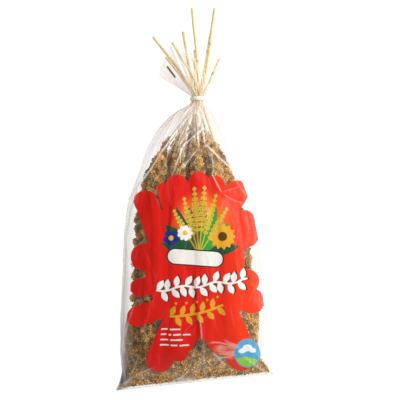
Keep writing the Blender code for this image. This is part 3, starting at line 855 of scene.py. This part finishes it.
def fold(start, stop, width, height, bow, mark):
    """A sharp fold between two places of the plan: up for a ridge, down for a hollow."""
    (ax, ay), (bx, by) = start, stop
    length = math.hypot(bx - ax, by - ay)
    ux, uy = (bx - ax) / length, (by - ay) / length
    u = ((plan_x - ax) * ux + (plan_y - ay) * uy) / length
    v = (plan_x - ax) * -uy + (plan_y - ay) * ux - bow * 4 * u * (1 - u)
    ends = np.clip(np.minimum(u, 1 - u) * 5, 0, 1) * is_top
    relief[...] += height * ends * np.exp(-np.abs(v) / width)
    crease_white_and_highlight[...] = np.maximum(crease_white_and_highlight, mark * ends * np.exp(-(v / 0.75) ** 2))


LONG_FOLDS = (  # start, stop, width, height, bow, mark
    ((190, 112), (126, 205), 1.7, 1.8, 0, 1.0), ((178, 132), (150, 151), 1.3, 1.2, 1, 0.9),
    ((187, 104), (146, 160), 2.0, 1.4, 3, 0.6), ((209, 124), (180, 148), 1.4, 1.3, 0, 0.85),
    ((193, 129), (177, 149), 1.2, 1.0, 1, 0.7), ((184, 143), (172, 176), 1.2, 1.0, 0, 0.8),
    ((189, 108), (178, 134), 1.4, 1.2, 1, 0.7), ((206, 108), (219, 153), 1.5, 1.2, -1, 0.7),
    ((197, 106), (199, 141), 1.5, 1.0, 1, 0.45), ((193, 106), (184, 138), 1.3, 1.0, 0, 0.8),
    ((201, 106), (211, 142), 1.4, 1.0, 1, 0.5), ((210, 112), (240, 176), 1.6, 1.2, -3, 0.4),
    ((203, 142), (231, 168), 1.2, 1.0, 0, 1.0), ((199, 148), (180, 170), 1.1, 0.8, 0, 0.6),
    ((180, 114), (150, 168), 2.0, 1.0, 3, 0.4), ((172, 124), (143, 178), 1.5, 1.0, 4, 0.4),
    ((191, 130), (168, 184), 1.4, -1.0, 0, 0.3), ((211, 150), (214, 172), 1.0, 0.8, 0, 0.5),
    ((163, 184), (165, 236), 3.2, -2.2, -1, 0.0), ((211, 172), (222, 194), 1.0, 0.9, 0, 1.0),
    ((150, 200), (154, 300), 4.0, -1.6, 3, 0.0), ((176, 196), (170, 262), 3.0, 1.1, 2, 0.05),
    ((196, 262), (201, 338), 2.2, 1.6, 1, 0.15), ((230, 200), (236, 300), 4.5, 1.4, -3, 0.0),
    ((243, 178), (251, 242), 2.2, 1.1, 2, 0.3), ((255, 226), (252, 268), 1.8, 1.0, 0, 0.4),
    ((258, 292), (262, 332), 1.8, 0.9, 0, 0.4), ((160, 290), (152, 356), 3.5, -1.3, 0, 0.05),
    ((141, 184), (127, 248), 1.8, 1.6, 3, 0.8), ((134, 196), (128, 262), 1.4, 1.2, 2, 0.5),
    ((129, 232), (124, 306), 1.6, 1.4, 1, 0.7), ((136, 300), (122, 362), 1.8, 1.3, 2, 0.6),
    ((128, 322), (120, 384), 1.4, 1.1, 1, 0.6), ((131, 250), (134, 312), 2.0, -1.2, 0, 0.1),
    ((118, 388), (158, 366), 1.8, 1.2, -3, 0.5), ((122, 389), (140, 350), 1.6, 1.0, 2, 0.4),
    ((236, 350), (276, 377), 1.6, 1.1, 2, 0.7), ((246, 344), (272, 369), 1.4, 0.9, 0, 0.5),
    ((206, 343), (244, 349), 1.3, 1.0, -2, 1.0), ((212, 352), (226, 366), 1.2, 0.9, 0, 0.8),
    ((222, 339), (240, 345), 1.2, 0.8, 1, 0.8), ((216, 358), (236, 354), 1.4, 0.8, 1, 0.7),
    ((200, 318), (202, 340), 1.2, 0.8, 0, 0.9), ((221, 192), (242, 186), 1.2, 0.9, 0, 0.5),
    ((221, 193), (246, 204), 1.2, 0.9, 1, 0.6), ((234, 178), (248, 200), 1.2, 0.8, 0, 0.5),
    ((160, 389), (188, 372), 1.6, 1.0, 0, 0.6), ((186, 384), (214, 376), 1.5, 0.9, 1, 0.4),
)
for start, stop, width, height, bow, mark in LONG_FOLDS:
    fold(start, stop, width, height, bow, mark)
print("long folds:", len(LONG_FOLDS))

# %% Short folds, pleats under the neck, and the sag between the heads
SHORT_FOLDS, NECK_FOLDS = 150, 46
NECK_X, NECK_Y = 195, 100  # the neck on the plan
HEAD_GAPS = (-0.73, -0.365, 0.0, 0.365, 0.73)
for _ in range(SHORT_FOLDS):
    at_y = rng.uniform(150, 385)
    at_x = rng.uniform(122, 262)
    heading = rng.normal(math.pi / 2, 0.45)
    reach_out = rng.uniform(6, 22)
    step_x, step_y = reach_out * math.cos(heading), reach_out * math.sin(heading)
    fold((at_x - step_x, at_y - step_y), (at_x + step_x, at_y + step_y), rng.uniform(0.9, 2.2),
         rng.uniform(-0.5, 0.6), rng.uniform(-2, 2), rng.uniform(0, 0.28))
for _ in range(NECK_FOLDS):  # pleats that fan out from the neck
    heading = rng.uniform(math.radians(62), math.radians(124))
    begin, reach_out = rng.uniform(4, 14), rng.uniform(18, 75)
    near = (NECK_X + math.cos(heading) * begin * 0.4, NECK_Y + math.sin(heading) * begin)
    far = (NECK_X + math.cos(heading) * reach_out, NECK_Y + math.sin(heading) * reach_out)
    fold(near, far, rng.uniform(0.6, 1.3), rng.uniform(-0.7, 0.8), rng.uniform(-1, 1), rng.uniform(0.05, 0.5))

centres, halves, _, _, _ = bag_sections(np.minimum(row_runs, 340))
across_bag = (rows[..., 0] - centres[:, None]) / halves[:, None]
filled = np.clip((row_runs - 25) / 40, 0, 1) * np.clip((SHOULDER_RUN - row_runs) / 40, 0, 1)
for gap in HEAD_GAPS:
    relief -= 1.8 * np.exp(-((across_bag - gap) / 0.08) ** 2) * filled[:, None] * is_top
shoulder = np.exp(-((row_runs - SHOULDER_RUN) / 26) ** 2)
relief += 0.9 * pleats[None, :] * shoulder[:, None] * below_neck
print("relief from", round(float(relief.min()), 1), "to", round(float(relief.max()), 1), "mm")

# %% Crumple: soft waves of random direction
def waves(count, shortest, longest, size, seed):
    """A smooth random surface on the plan: many waves of different length and heading."""
    source = np.random.default_rng(seed)
    total = np.zeros(rows.shape[:2])
    for _ in range(count):
        length, heading = source.uniform(shortest, longest), source.normal(0, 0.7)
        phase = source.uniform(0, math.tau) + rows[..., 2] * source.uniform(-0.1, 0.1)
        ahead = plan_x * math.cos(heading) + plan_y * math.sin(heading)
        total += np.sin(ahead * math.tau / length + phase)
    return total * size / math.sqrt(count)


def streaks(count, spread, seed):
    """Random streaks from 0 to 1 that run up the film and draw together at the neck, as its pleats do."""
    source = np.random.default_rng(seed)
    seats = source.random((spread, count + 1))
    along = np.linspace(0, spread - 1, len(rows))
    low = np.minimum(along.astype(int), spread - 2)
    share = (along - low)[:, None]
    share = share * share * (3 - 2 * share)
    at = np.arange(COLUMNS) / COLUMNS * count
    left_seat = at.astype(int)
    step = at - left_seat
    step = step * step * (3 - 2 * step)
    lines = seats[:, left_seat] * (1 - step) + seats[:, (left_seat + 1) % count] * step
    return lines[low] * (1 - share) + lines[low + 1] * share


DEEPEST = 1.3
crumple = waves(18, 22, 60, 0.50, 21) + waves(24, 9, 18, 0.07, 22)
streak = 0.55 * streaks(62, 9, 31) + 0.45 * streaks(120, 16, 32)
streak = np.clip((streak - 0.32) / 0.36, 0, 1)
near_edge = np.clip((np.abs(across_bag) - 0.70) / 0.25, 0, 1)
relief += 0.7 * (streak - 0.5) * np.maximum(near_edge, shoulder[:, None]) * below_neck
relief += crumple * below_neck * np.clip((345 - row_runs) / 30, 0, 1)[:, None]
seal_ribs = 0.18 * np.cos(row_runs / SEAL_WIDTH * 4 * math.tau) * (row_runs < SEAL_WIDTH)
in_seal = np.clip((SEAL_WIDTH + 5 - row_runs) / 5, 0, 1)
relief = relief * (1 - in_seal[:, None]) + seal_ribs[:, None]
crease_white_and_highlight = np.maximum(crease_white_and_highlight, (0.30 + 0.9 * seal_ribs)[:, None] * (row_runs < SEAL_WIDTH)[:, None])
in_frill = np.clip((np.arange(len(rows)) - len(bag_rows) - 2) / 6, 0, 1)
gathered = np.where(row_runs < BAG_TOP_RUN, np.exp(-((BAG_TOP_RUN - row_runs) / 30) ** 2), 1.0)
gathered[-FRILL_ROWS:] = np.linspace(0.66, 0.26, FRILL_ROWS)
deep = 0.32 + 0.58 * np.clip((300 - row_runs) / 110, 0, 1)
# painted shade: the film turns darker and greyer towards the lower left of the bag, away from the key light
painted_shade_low_left = np.clip((155 - row_runs) / 90, 0, 1)[:, None] * np.clip(-across_bag, 0, 1)
margin = np.clip((-across_bag - 0.80) / 0.15, 0, 1) * deep[:, None] * below_neck
slack = np.clip(1.3 - 1.3 * np.hypot((plan_x - 185) / 18, (plan_y - 382) / 8), 0, 1)  # loose film at the seal
margin = np.maximum(margin, 0.9 * slack * is_top)
crease_white_and_highlight = np.maximum(crease_white_and_highlight, np.clip(np.abs(pleats) - 0.45, 0, 0.5)[None, :] * in_frill[:, None])

along_rows = np.gradient(rows, axis=0)
round_rows = np.roll(rows, -1, axis=1) - np.roll(rows, 1, axis=1)
outward = np.cross(round_rows, along_rows)
outward /= np.linalg.norm(outward, axis=2, keepdims=True) + 1e-9
relief = np.maximum(relief, -DEEPEST)  # the film never sinks into the heads under it
film_points = rows + outward * relief[..., None]
film_points[..., 2] = np.maximum(film_points[..., 2], 0.05)
facing_up = np.clip(0.35 + 1.6 * outward[..., 2], 0.25, 1)
flat_list = film_points.reshape(-1, 3)
print("film spans", flat_list.min(axis=0).round(1), flat_list.max(axis=0).round(1))

# %% [markdown]
# ## Print
#
# The front carries a red field with rounded lobes, a warm glow with a bunch of ripe ears, leaves and flowers
# in it, a blank cream plate, a white garland, a gold sprig, four rows of dashes and a round sticker with a
# cloud over a green hill. All are plain shapes. Each colour is one attribute on the film: the distance inward
# from the edge of that colour, in plan units. The shader cuts it off at zero, so an edge stays sharp between
# the points of the grid.

# %% Shapes on the plan
def capsule(ax, ay, bx, by, start_radius, stop_radius=None):
    """Distance inside a round-ended bar."""
    stop_radius = start_radius if stop_radius is None else stop_radius
    ahead = (plan_x - ax) * (bx - ax) + (plan_y - ay) * (by - ay)
    t = np.clip(ahead / ((bx - ax) ** 2 + (by - ay) ** 2), 0, 1)
    away = np.hypot(plan_x - ax - t * (bx - ax), plan_y - ay - t * (by - ay))
    return start_radius + (stop_radius - start_radius) * t - away


def blade(ax, ay, bx, by, half_width):
    """Distance inside a leaf that is pointed at both ends."""
    length = math.hypot(bx - ax, by - ay)
    u = ((plan_x - ax) * (bx - ax) + (plan_y - ay) * (by - ay)) / length**2
    v = np.abs((plan_x - ax) * -(by - ay) + (plan_y - ay) * (bx - ax)) / length
    inside = half_width * np.sin(math.pi * np.clip(u, 0, 1)) - v
    return np.minimum(inside, np.minimum(u, 1 - u) * length)


def disc(x, y, radius_x, radius_y=None):
    """Distance inside an ellipse, near enough."""
    radius_y = radius_y or radius_x
    return (1 - np.hypot((plan_x - x) / radius_x, (plan_y - y) / radius_y)) * min(radius_x, radius_y)


def joined(*shapes):
    """Distance inside several shapes taken as one."""
    return np.maximum.reduce(shapes)


LOBES = (  # tip of each lobe, its radius, and where it springs from
    (146, 202, 11.5, 168, 262), (162, 188, 5, 174, 235), (177, 186, 11.5, 185, 230),
    (199, 182, 10.5, 198, 225), (215, 186, 10.5, 212, 230), (237, 192, 11.5, 214, 234),
    (243, 222, 12, 215, 245), (246, 235, 12.5, 215, 252), (248, 281, 11.5, 215, 272),
    (252, 301, 12.5, 215, 290), (241, 354, 16, 216, 300), (222, 338, 17.5, 208, 300),
    (178, 345, 16.5, 188, 300), (160, 359, 13.5, 182, 310), (138, 316.5, 10.5, 178, 302),
    (139, 288, 9, 176, 280), (144, 257, 13.5, 180, 262), (201, 332, 15, 198, 300),
)
red_field = joined(disc(195, 262, 50, 66), *(
    capsule(root_x, root_y, tip_x, tip_y, radius) for tip_x, tip_y, radius, root_x, root_y in LOBES))
red_field = np.minimum(red_field, -blade(201, 336, 204, 440, 26))
print("red covers", int((red_field * is_top > 0).sum()), "points of the grid")

# %% The bunch of ears, leaves and flowers
def ear(foot, tip, bow, size, pairs=9):
    """A drooping ear: a thin stem, and pairs of grains that shrink towards the tip."""
    (fx, fy), (tx, ty) = foot, tip
    length = math.hypot(tx - fx, ty - fy)
    side_x, side_y = -(ty - fy) / length, (tx - fx) / length

    def at(t):
        sag = bow * t * t * 4 * (1 - 0.5 * t)
        return fx + (tx - fx) * t + side_x * sag, fy + (ty - fy) * t + side_y * sag

    steps = [at(t) for t in np.linspace(0, 1, 7)]
    stem = [capsule(*a, *b, 0.55) for a, b in zip(steps, steps[1:])]
    grains = []
    for t in np.linspace(0.36, 0.97, pairs):
        x, y = at(t)
        swell = size * (0.55 + 0.45 * math.sin(math.pi * min(1, (t - 0.30) / 0.62)))
        for out in (-0.62 * swell, 0.62 * swell):
            grains.append(disc(x + side_x * out, y + side_y * out, 0.62 * swell, 0.70 * swell))
    return joined(*stem, *grains)


BUNCH_FOOT = (199, 254)
EARS = (((181, 198), 1.5, 2.9), ((193, 187), 0.6, 3.2), ((206, 186), -0.6, 3.2), ((219, 195), -1.4, 3.0),
        ((231, 210), -2.0, 2.7), ((170, 212), 2.0, 2.7))
print_ears = joined(*(ear(BUNCH_FOOT, tip, bow, size) for tip, bow, size in EARS))
print_ear_shade = np.minimum(print_ears - 0.55, np.sin(plan_x * 2.1) * np.sin(plan_y * 2.3) - 0.1)
print_olive = joined(blade(199, 254, 188, 205, 6.5), blade(200, 254, 203, 198, 6),
                     blade(198, 254, 197, 214, 6))
print_dark_leaves = joined(blade(197, 254, 164, 224, 6.5), blade(196, 255, 160, 243, 5),
                           blade(203, 254, 240, 246, 5.5), blade(193, 253, 176, 206, 4.5))
print_bright_leaves = joined(blade(203, 254, 217, 206, 5.5), blade(204, 253, 229, 222, 5),
                             blade(201, 252, 209, 214, 4.5))
gold_x, gold_y, blue_x, blue_y, white_x, white_y = 222.5, 236.5, 171, 238, 185, 233
print_bloom = joined(*(
    blade(gold_x + 3 * math.cos(a), gold_y + 3 * math.sin(a), gold_x + 13.5 * math.cos(a),
          gold_y + 13.5 * math.sin(a), 2.8) for a in np.arange(13) * math.tau / 13))
print_bloom_heart = disc(gold_x, gold_y, 4.6)
print_blue = joined(*(
    disc(blue_x + 5.0 * math.cos(a), blue_y + 5.0 * math.sin(a), 3.3)
    for a in np.arange(5) * math.tau / 5 + 0.3))
white_petals = [
    capsule(white_x, white_y, white_x + 6.0 * math.cos(a), white_y + 6.0 * math.sin(a), 1.3, 1.9)
    for a in np.arange(9) * math.tau / 9]
print_gold_hearts = joined(disc(blue_x, blue_y, 2.5), disc(white_x, white_y, 2.6))
print_glow = np.clip(1 - np.hypot((plan_x - 205) / 42, (plan_y - 224) / 42), 0, 1)
print("ears on the print:", len(EARS))

# %% Plate, garland, dashes, gold sprig and sticker
def sprig(points, leaf_length, leaf_width, stem_radius, lean=0.45):
    """A curved stem with a leaf at each of its points, left and right in turn."""
    shapes = [capsule(*a, *b, stem_radius) for a, b in zip(points, points[1:])]
    for k, ((ax, ay), (bx, by)) in enumerate(zip(points, points[1:])):
        length = math.hypot(bx - ax, by - ay)
        ux, uy = (bx - ax) / length, (by - ay) / length
        way = 1 if k % 2 else -1
        tip_x = ax + leaf_length * (ux * lean - uy * way)
        tip_y = ay + leaf_length * (uy * lean + ux * way)
        shapes.append(blade(ax, ay, tip_x, tip_y, leaf_width))
    return joined(*shapes)


plate = capsule(175.0, 256.3, 215.5, 259.3, 7.2)
garland = sprig([(157 + 4.75 * k, 290.5 - 0.55 * k + 1.6 * math.sin(0.9 * k)) for k in range(20)],
                11.0, 3.1, 1.0)
DASH_ROWS = ((8, 12), (7, 4, 9, 9), (9, 14), (10, 8, 11))
dashes = []
for k, lengths in enumerate(DASH_ROWS):
    x = 161.5 - 0.4 * k
    for length in lengths:
        y = 329.3 + 5.3 * k + 0.02 * (x - 160)
        dashes.append(capsule(x, y, x + length - 2.2, y, 0.72))
        x += length + 0.8
print_white = joined(plate, garland, *dashes, *white_petals)
print_outline = joined(plate + 1.3, np.roll(garland, 1, axis=1) + 0.5)
print_gold = joined(
    sprig([(170.5 + 5.2 * k, 316.5 - 0.11 * k * k) for k in range(11)], 10.5, 2.7, 1.15),
    *(disc(176 + 10.4 * k, 303.5 - 0.9 * k * k * 0.45, 1.3) for k in range(5)))
sticker = disc(247.5, 353, 13.3, 14.2)
print_hill = np.minimum(sticker - 1.0, disc(244, 372, 22, 15))
print_cloud = np.minimum(sticker - 1.2, joined(
    disc(242.5, 350.5, 4.2, 2.5), disc(247.5, 348.0, 4.8, 3.4), disc(252.5, 350.5, 3.8, 2.3)))
frill_bar = capsule(167.5, 67, 175, 77, 1.0)
print("white covers", int((print_white * is_top > 0).sum()), "points")

# %% Make the film mesh and store its attributes
count_rows = len(rows)
grid = np.arange(count_rows * COLUMNS).reshape(count_rows, COLUMNS)
right_of = np.roll(grid, -1, axis=1)
faces = np.stack((grid[:-1], grid[1:], right_of[1:], right_of[:-1]), axis=-1).reshape(-1, 4)
film_mesh = bpy.data.meshes.new("printed_film")
film_mesh.from_pydata((flat_list * MM).tolist(), [], faces.tolist() + [grid[0].tolist()])
on_bag = is_top * below_neck
on_frill = is_top * (row_runs > BAG_TOP_RUN)[:, None]
NOT_HERE = -9.0
film_values = {
    "red": np.where(on_bag > 0, red_field, NOT_HERE), "glow": print_glow, "ears": print_ears,
    "ear_shade": print_ear_shade, "olive": print_olive, "dark_leaves": print_dark_leaves,
    "bright_leaves": print_bright_leaves, "bloom": print_bloom, "bloom_heart": print_bloom_heart,
    "blue": print_blue, "hearts": print_gold_hearts, "outline": print_outline, "white": print_white,
    "gold": print_gold, "sticker": np.where(on_bag > 0, sticker, NOT_HERE), "hill": print_hill,
    "cloud": print_cloud, "bar": np.where(on_frill > 0, frill_bar, NOT_HERE), "crease": crease_white_and_highlight,
    "gathered": np.repeat(gathered[:, None], COLUMNS, axis=1),
    "margin": margin * np.maximum(facing_up, 0.42 * painted_shade_low_left), "streak": streak, "painted_shade_low_left": painted_shade_low_left,
    "edge_shade": painted_shade_low_left * np.clip((-across_bag - 0.87) / 0.08, 0, 1),
    # painted light: a share that grows towards the right of the plan
    "painted_light_right": np.clip((plan_x - 200) / 52, 0, 1),
    "glint": np.clip(1.5 - 1.5 * np.hypot((plan_x - 227) / 24, (plan_y - 351) / 13), 0, 1),
}
for name, numbers in film_values.items():
    layer = film_mesh.attributes.new(name, "FLOAT", "POINT")
    layer.data.foreach_set("value", numbers.astype(np.float32).ravel())
film_mesh.shade_smooth()
film = bpy.data.objects.new("printed_film", film_mesh)
scene.collection.objects.link(film)
print("film:", len(film_mesh.polygons), "faces and", len(film_values), "attributes")

# %% [markdown]
# ## Film and ink
#
# Clear film is mostly a hole for light, with a mirror on it. Two shaders say that: a see-through one, and a
# glossy one with a high index that shows only by a small share, more at a slanting angle, on creases and in
# milky patches. On creases it is near white, partly the whitening of creased film and partly a painted
# highlight, and the ink is whitened there too. Ink is opaque and glossy. Each printed colour is laid over the
# one before it.

# %% Film material
film_material, tree, end = blank_material("clear_film")
place = add(tree, "ShaderNodeTexCoord").outputs["Object"]


def value_of(name):
    """An attribute of the film."""
    return add(tree, "ShaderNodeAttribute", attribute_name=name).outputs["Fac"]


def inside(name, soft=0.3):
    """One inside the edge of a printed shape and zero outside, over a soft step."""
    return ranged(tree, value_of(name), -soft, soft, 0.0, 1.0, interpolation_type="SMOOTHSTEP")


RED, DEEP_RED, PAINTED_LIGHT_RED = (0.84, 0.020, 0.013, 1), (0.70, 0.010, 0.009, 1), (0.93, 0.050, 0.014, 1)
GLOW, GLARE, CREASED_INK_HIGHLIGHT = (0.95, 0.34, 0.05, 1), (1.0, 0.66, 0.50, 1), (1.0, 0.90, 0.84, 1)
ink = mixed(tree, noise(tree, place, 26.0, 2.0), RED, DEEP_RED)
warmth = ranged(tree, value_of("glow"), 0.10, 0.75, 0.0, 0.85, interpolation_type="SMOOTHSTEP")
ink = mixed(tree, warmth, ink, GLOW)
# painted light: the red turns lighter and more orange towards the right, the side the key light comes from
ink = mixed(tree, value_of("painted_light_right"), ink, PAINTED_LIGHT_RED)
# a painted highlight: a streaky patch of glare mixed into the ink's colour, left of the sticker
glare_place = add(tree, "ShaderNodeMapping", {
    "Vector": place, "Rotation": (0, 0, 0.35), "Scale": (1.0, 3.4, 1.0)})
glare = sum_of(tree, "MULTIPLY", value_of("glint"), noise(tree, glare_place, 75.0, 3.0, Distortion=0.8))
ink = mixed(tree, ranged(tree, glare, 0.26, 0.58, 0.0, 0.55), ink, GLARE)
LAYERS = (  # attribute, colour, half the width of its soft edge
    ("olive", (0.110, 0.120, 0.045, 1), 0.3), ("dark_leaves", (0.022, 0.095, 0.045, 1), 0.3),
    ("bright_leaves", (0.045, 0.36, 0.05, 1), 0.3), ("bloom", (0.84, 0.42, 0.030, 1), 0.3),
    ("bloom_heart", (0.13, 0.055, 0.015, 1), 0.5), ("ears", (0.74, 0.50, 0.055, 1), 0.3),
    ("ear_shade", (0.42, 0.22, 0.020, 1), 0.3),
    ("blue", (0.020, 0.035, 0.22, 1), 0.3), ("outline", (0.035, 0.020, 0.030, 1), 0.3),
    ("white", (0.92, 0.90, 0.84, 1), 0.3), ("hearts", (0.90, 0.50, 0.04, 1), 0.3),
    ("gold", (0.78, 0.38, 0.030, 1), 0.3), ("sticker", (0.10, 0.40, 0.66, 1), 0.3),
    ("hill", (0.30, 0.66, 0.07, 1), 0.5), ("cloud", (0.90, 0.94, 0.96, 1), 0.5),
    ("bar", (0.17, 0.17, 0.18, 1), 0.3),
)
for name, colour, soft in LAYERS:
    ink = mixed(tree, inside(name, soft), ink, colour)
# ink whitened on creases: partly the whitening of creased film, partly a painted highlight
fold_white_and_highlight = sum_of(tree, "MULTIPLY", sum_of(tree, "POWER", value_of("crease"), 2.0), 0.6)
ink = mixed(tree, fold_white_and_highlight, ink, CREASED_INK_HIGHLIGHT)
printed = sum_of(tree, "MAXIMUM", inside("red"), sum_of(tree, "MAXIMUM", inside("sticker"), inside("bar")))
print("ink layers:", len(LAYERS))

# %% Clear film: how much of it shows
crease, streak_mark, gather_mark, margin_mark = map(value_of, ("crease", "streak", "gathered", "margin"))
milk = ranged(tree, noise(tree, place, 30.0, 3.0, Roughness=0.5), 0.54, 0.74, 0.0, 0.10)
slant = add(tree, "ShaderNodeLayerWeight", {"Blend": 0.30}).outputs["Facing"]
whitened = sum_of(tree, "MULTIPLY_ADD", streak_mark, 0.75, 0.25)
veiled = sum_of(tree, "MULTIPLY_ADD", streak_mark, 0.60, 0.40)
# painted shade: dark grey film along the left edge of the lower bag
painted_edge_shade_share = sum_of(tree, "MULTIPLY", value_of("edge_shade"),
                    sum_of(tree, "MULTIPLY_ADD", streak_mark, -0.80, 1.0))
shows = sum_of(tree, "MULTIPLY_ADD", slant, 0.30, 0.03)
for share, amount in ((milk, 1.0), (crease, 0.75), (sum_of(tree, "MULTIPLY", gather_mark, veiled), 0.62),
                      (sum_of(tree, "MULTIPLY", margin_mark, whitened), 0.50),
                      (sum_of(tree, "MULTIPLY", margin_mark, painted_edge_shade_share), 0.85)):
    shows = sum_of(tree, "MULTIPLY_ADD", share, amount, shows, clamp=True)
long_place = add(tree, "ShaderNodeMapping", {"Vector": place, "Scale": (1.0, 0.22, 1.0)})
calm = sum_of(tree, "MAXIMUM", gather_mark, margin_mark)  # streaky film is too fine for bumps
film_bump = add(tree, "ShaderNodeBump", {
    "Height": noise(tree, long_place, 110.0, 1.0), "Distance": 0.8 * MM,
    "Strength": sum_of(tree, "MULTIPLY_ADD", calm, -0.18, 0.20)})
# both streak colours turn dark grey towards the lower left: painted shade
grey_streak = mixed(tree, value_of("painted_shade_low_left"), (0.88, 0.78, 0.65, 1), (0.10, 0.10, 0.09, 1))
pale_streak = mixed(tree, value_of("painted_shade_low_left"), (1.0, 0.92, 0.79, 1), (0.62, 0.60, 0.56, 1))
clear_colour = mixed(tree, streak_mark, grey_streak, pale_streak)
neck_share = sum_of(tree, "MULTIPLY", gather_mark, 1.5, clamp=True)
clear_colour = mixed(tree, neck_share, clear_colour, (1.0, 0.86, 0.79, 1))
# film near white on creases: partly the whitening of creased film, partly a painted highlight
clear_colour = mixed(tree, crease, clear_colour, (0.98, 0.96, 0.93, 1))
hole = add(tree, "ShaderNodeBsdfTransparent")
sheen = add(tree, "ShaderNodeBsdfPrincipled", {
    "Base Color": clear_colour, "IOR": 1.9, "Normal": film_bump,
    "Roughness": sum_of(tree, "MULTIPLY_ADD", calm, 0.28, 0.16)})
clear = add(tree, "ShaderNodeMixShader", {0: shows, 1: hole, 2: sheen})
inked = add(tree, "ShaderNodeBsdfPrincipled", {
    "Base Color": ink, "Roughness": 0.28, "IOR": 1.5, "Specular IOR Level": 0.09, "Normal": film_bump})
film_shader = add(tree, "ShaderNodeMixShader", {
    0: sum_of(tree, "MULTIPLY", printed, 0.97), 1: clear, 2: inked})
tree.links.new(film_shader.outputs[0], end.inputs[0])
film_mesh.materials.append(film_material)
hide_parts("film_bag")
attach(film, "root")
print("film material has", len(tree.nodes), "nodes")
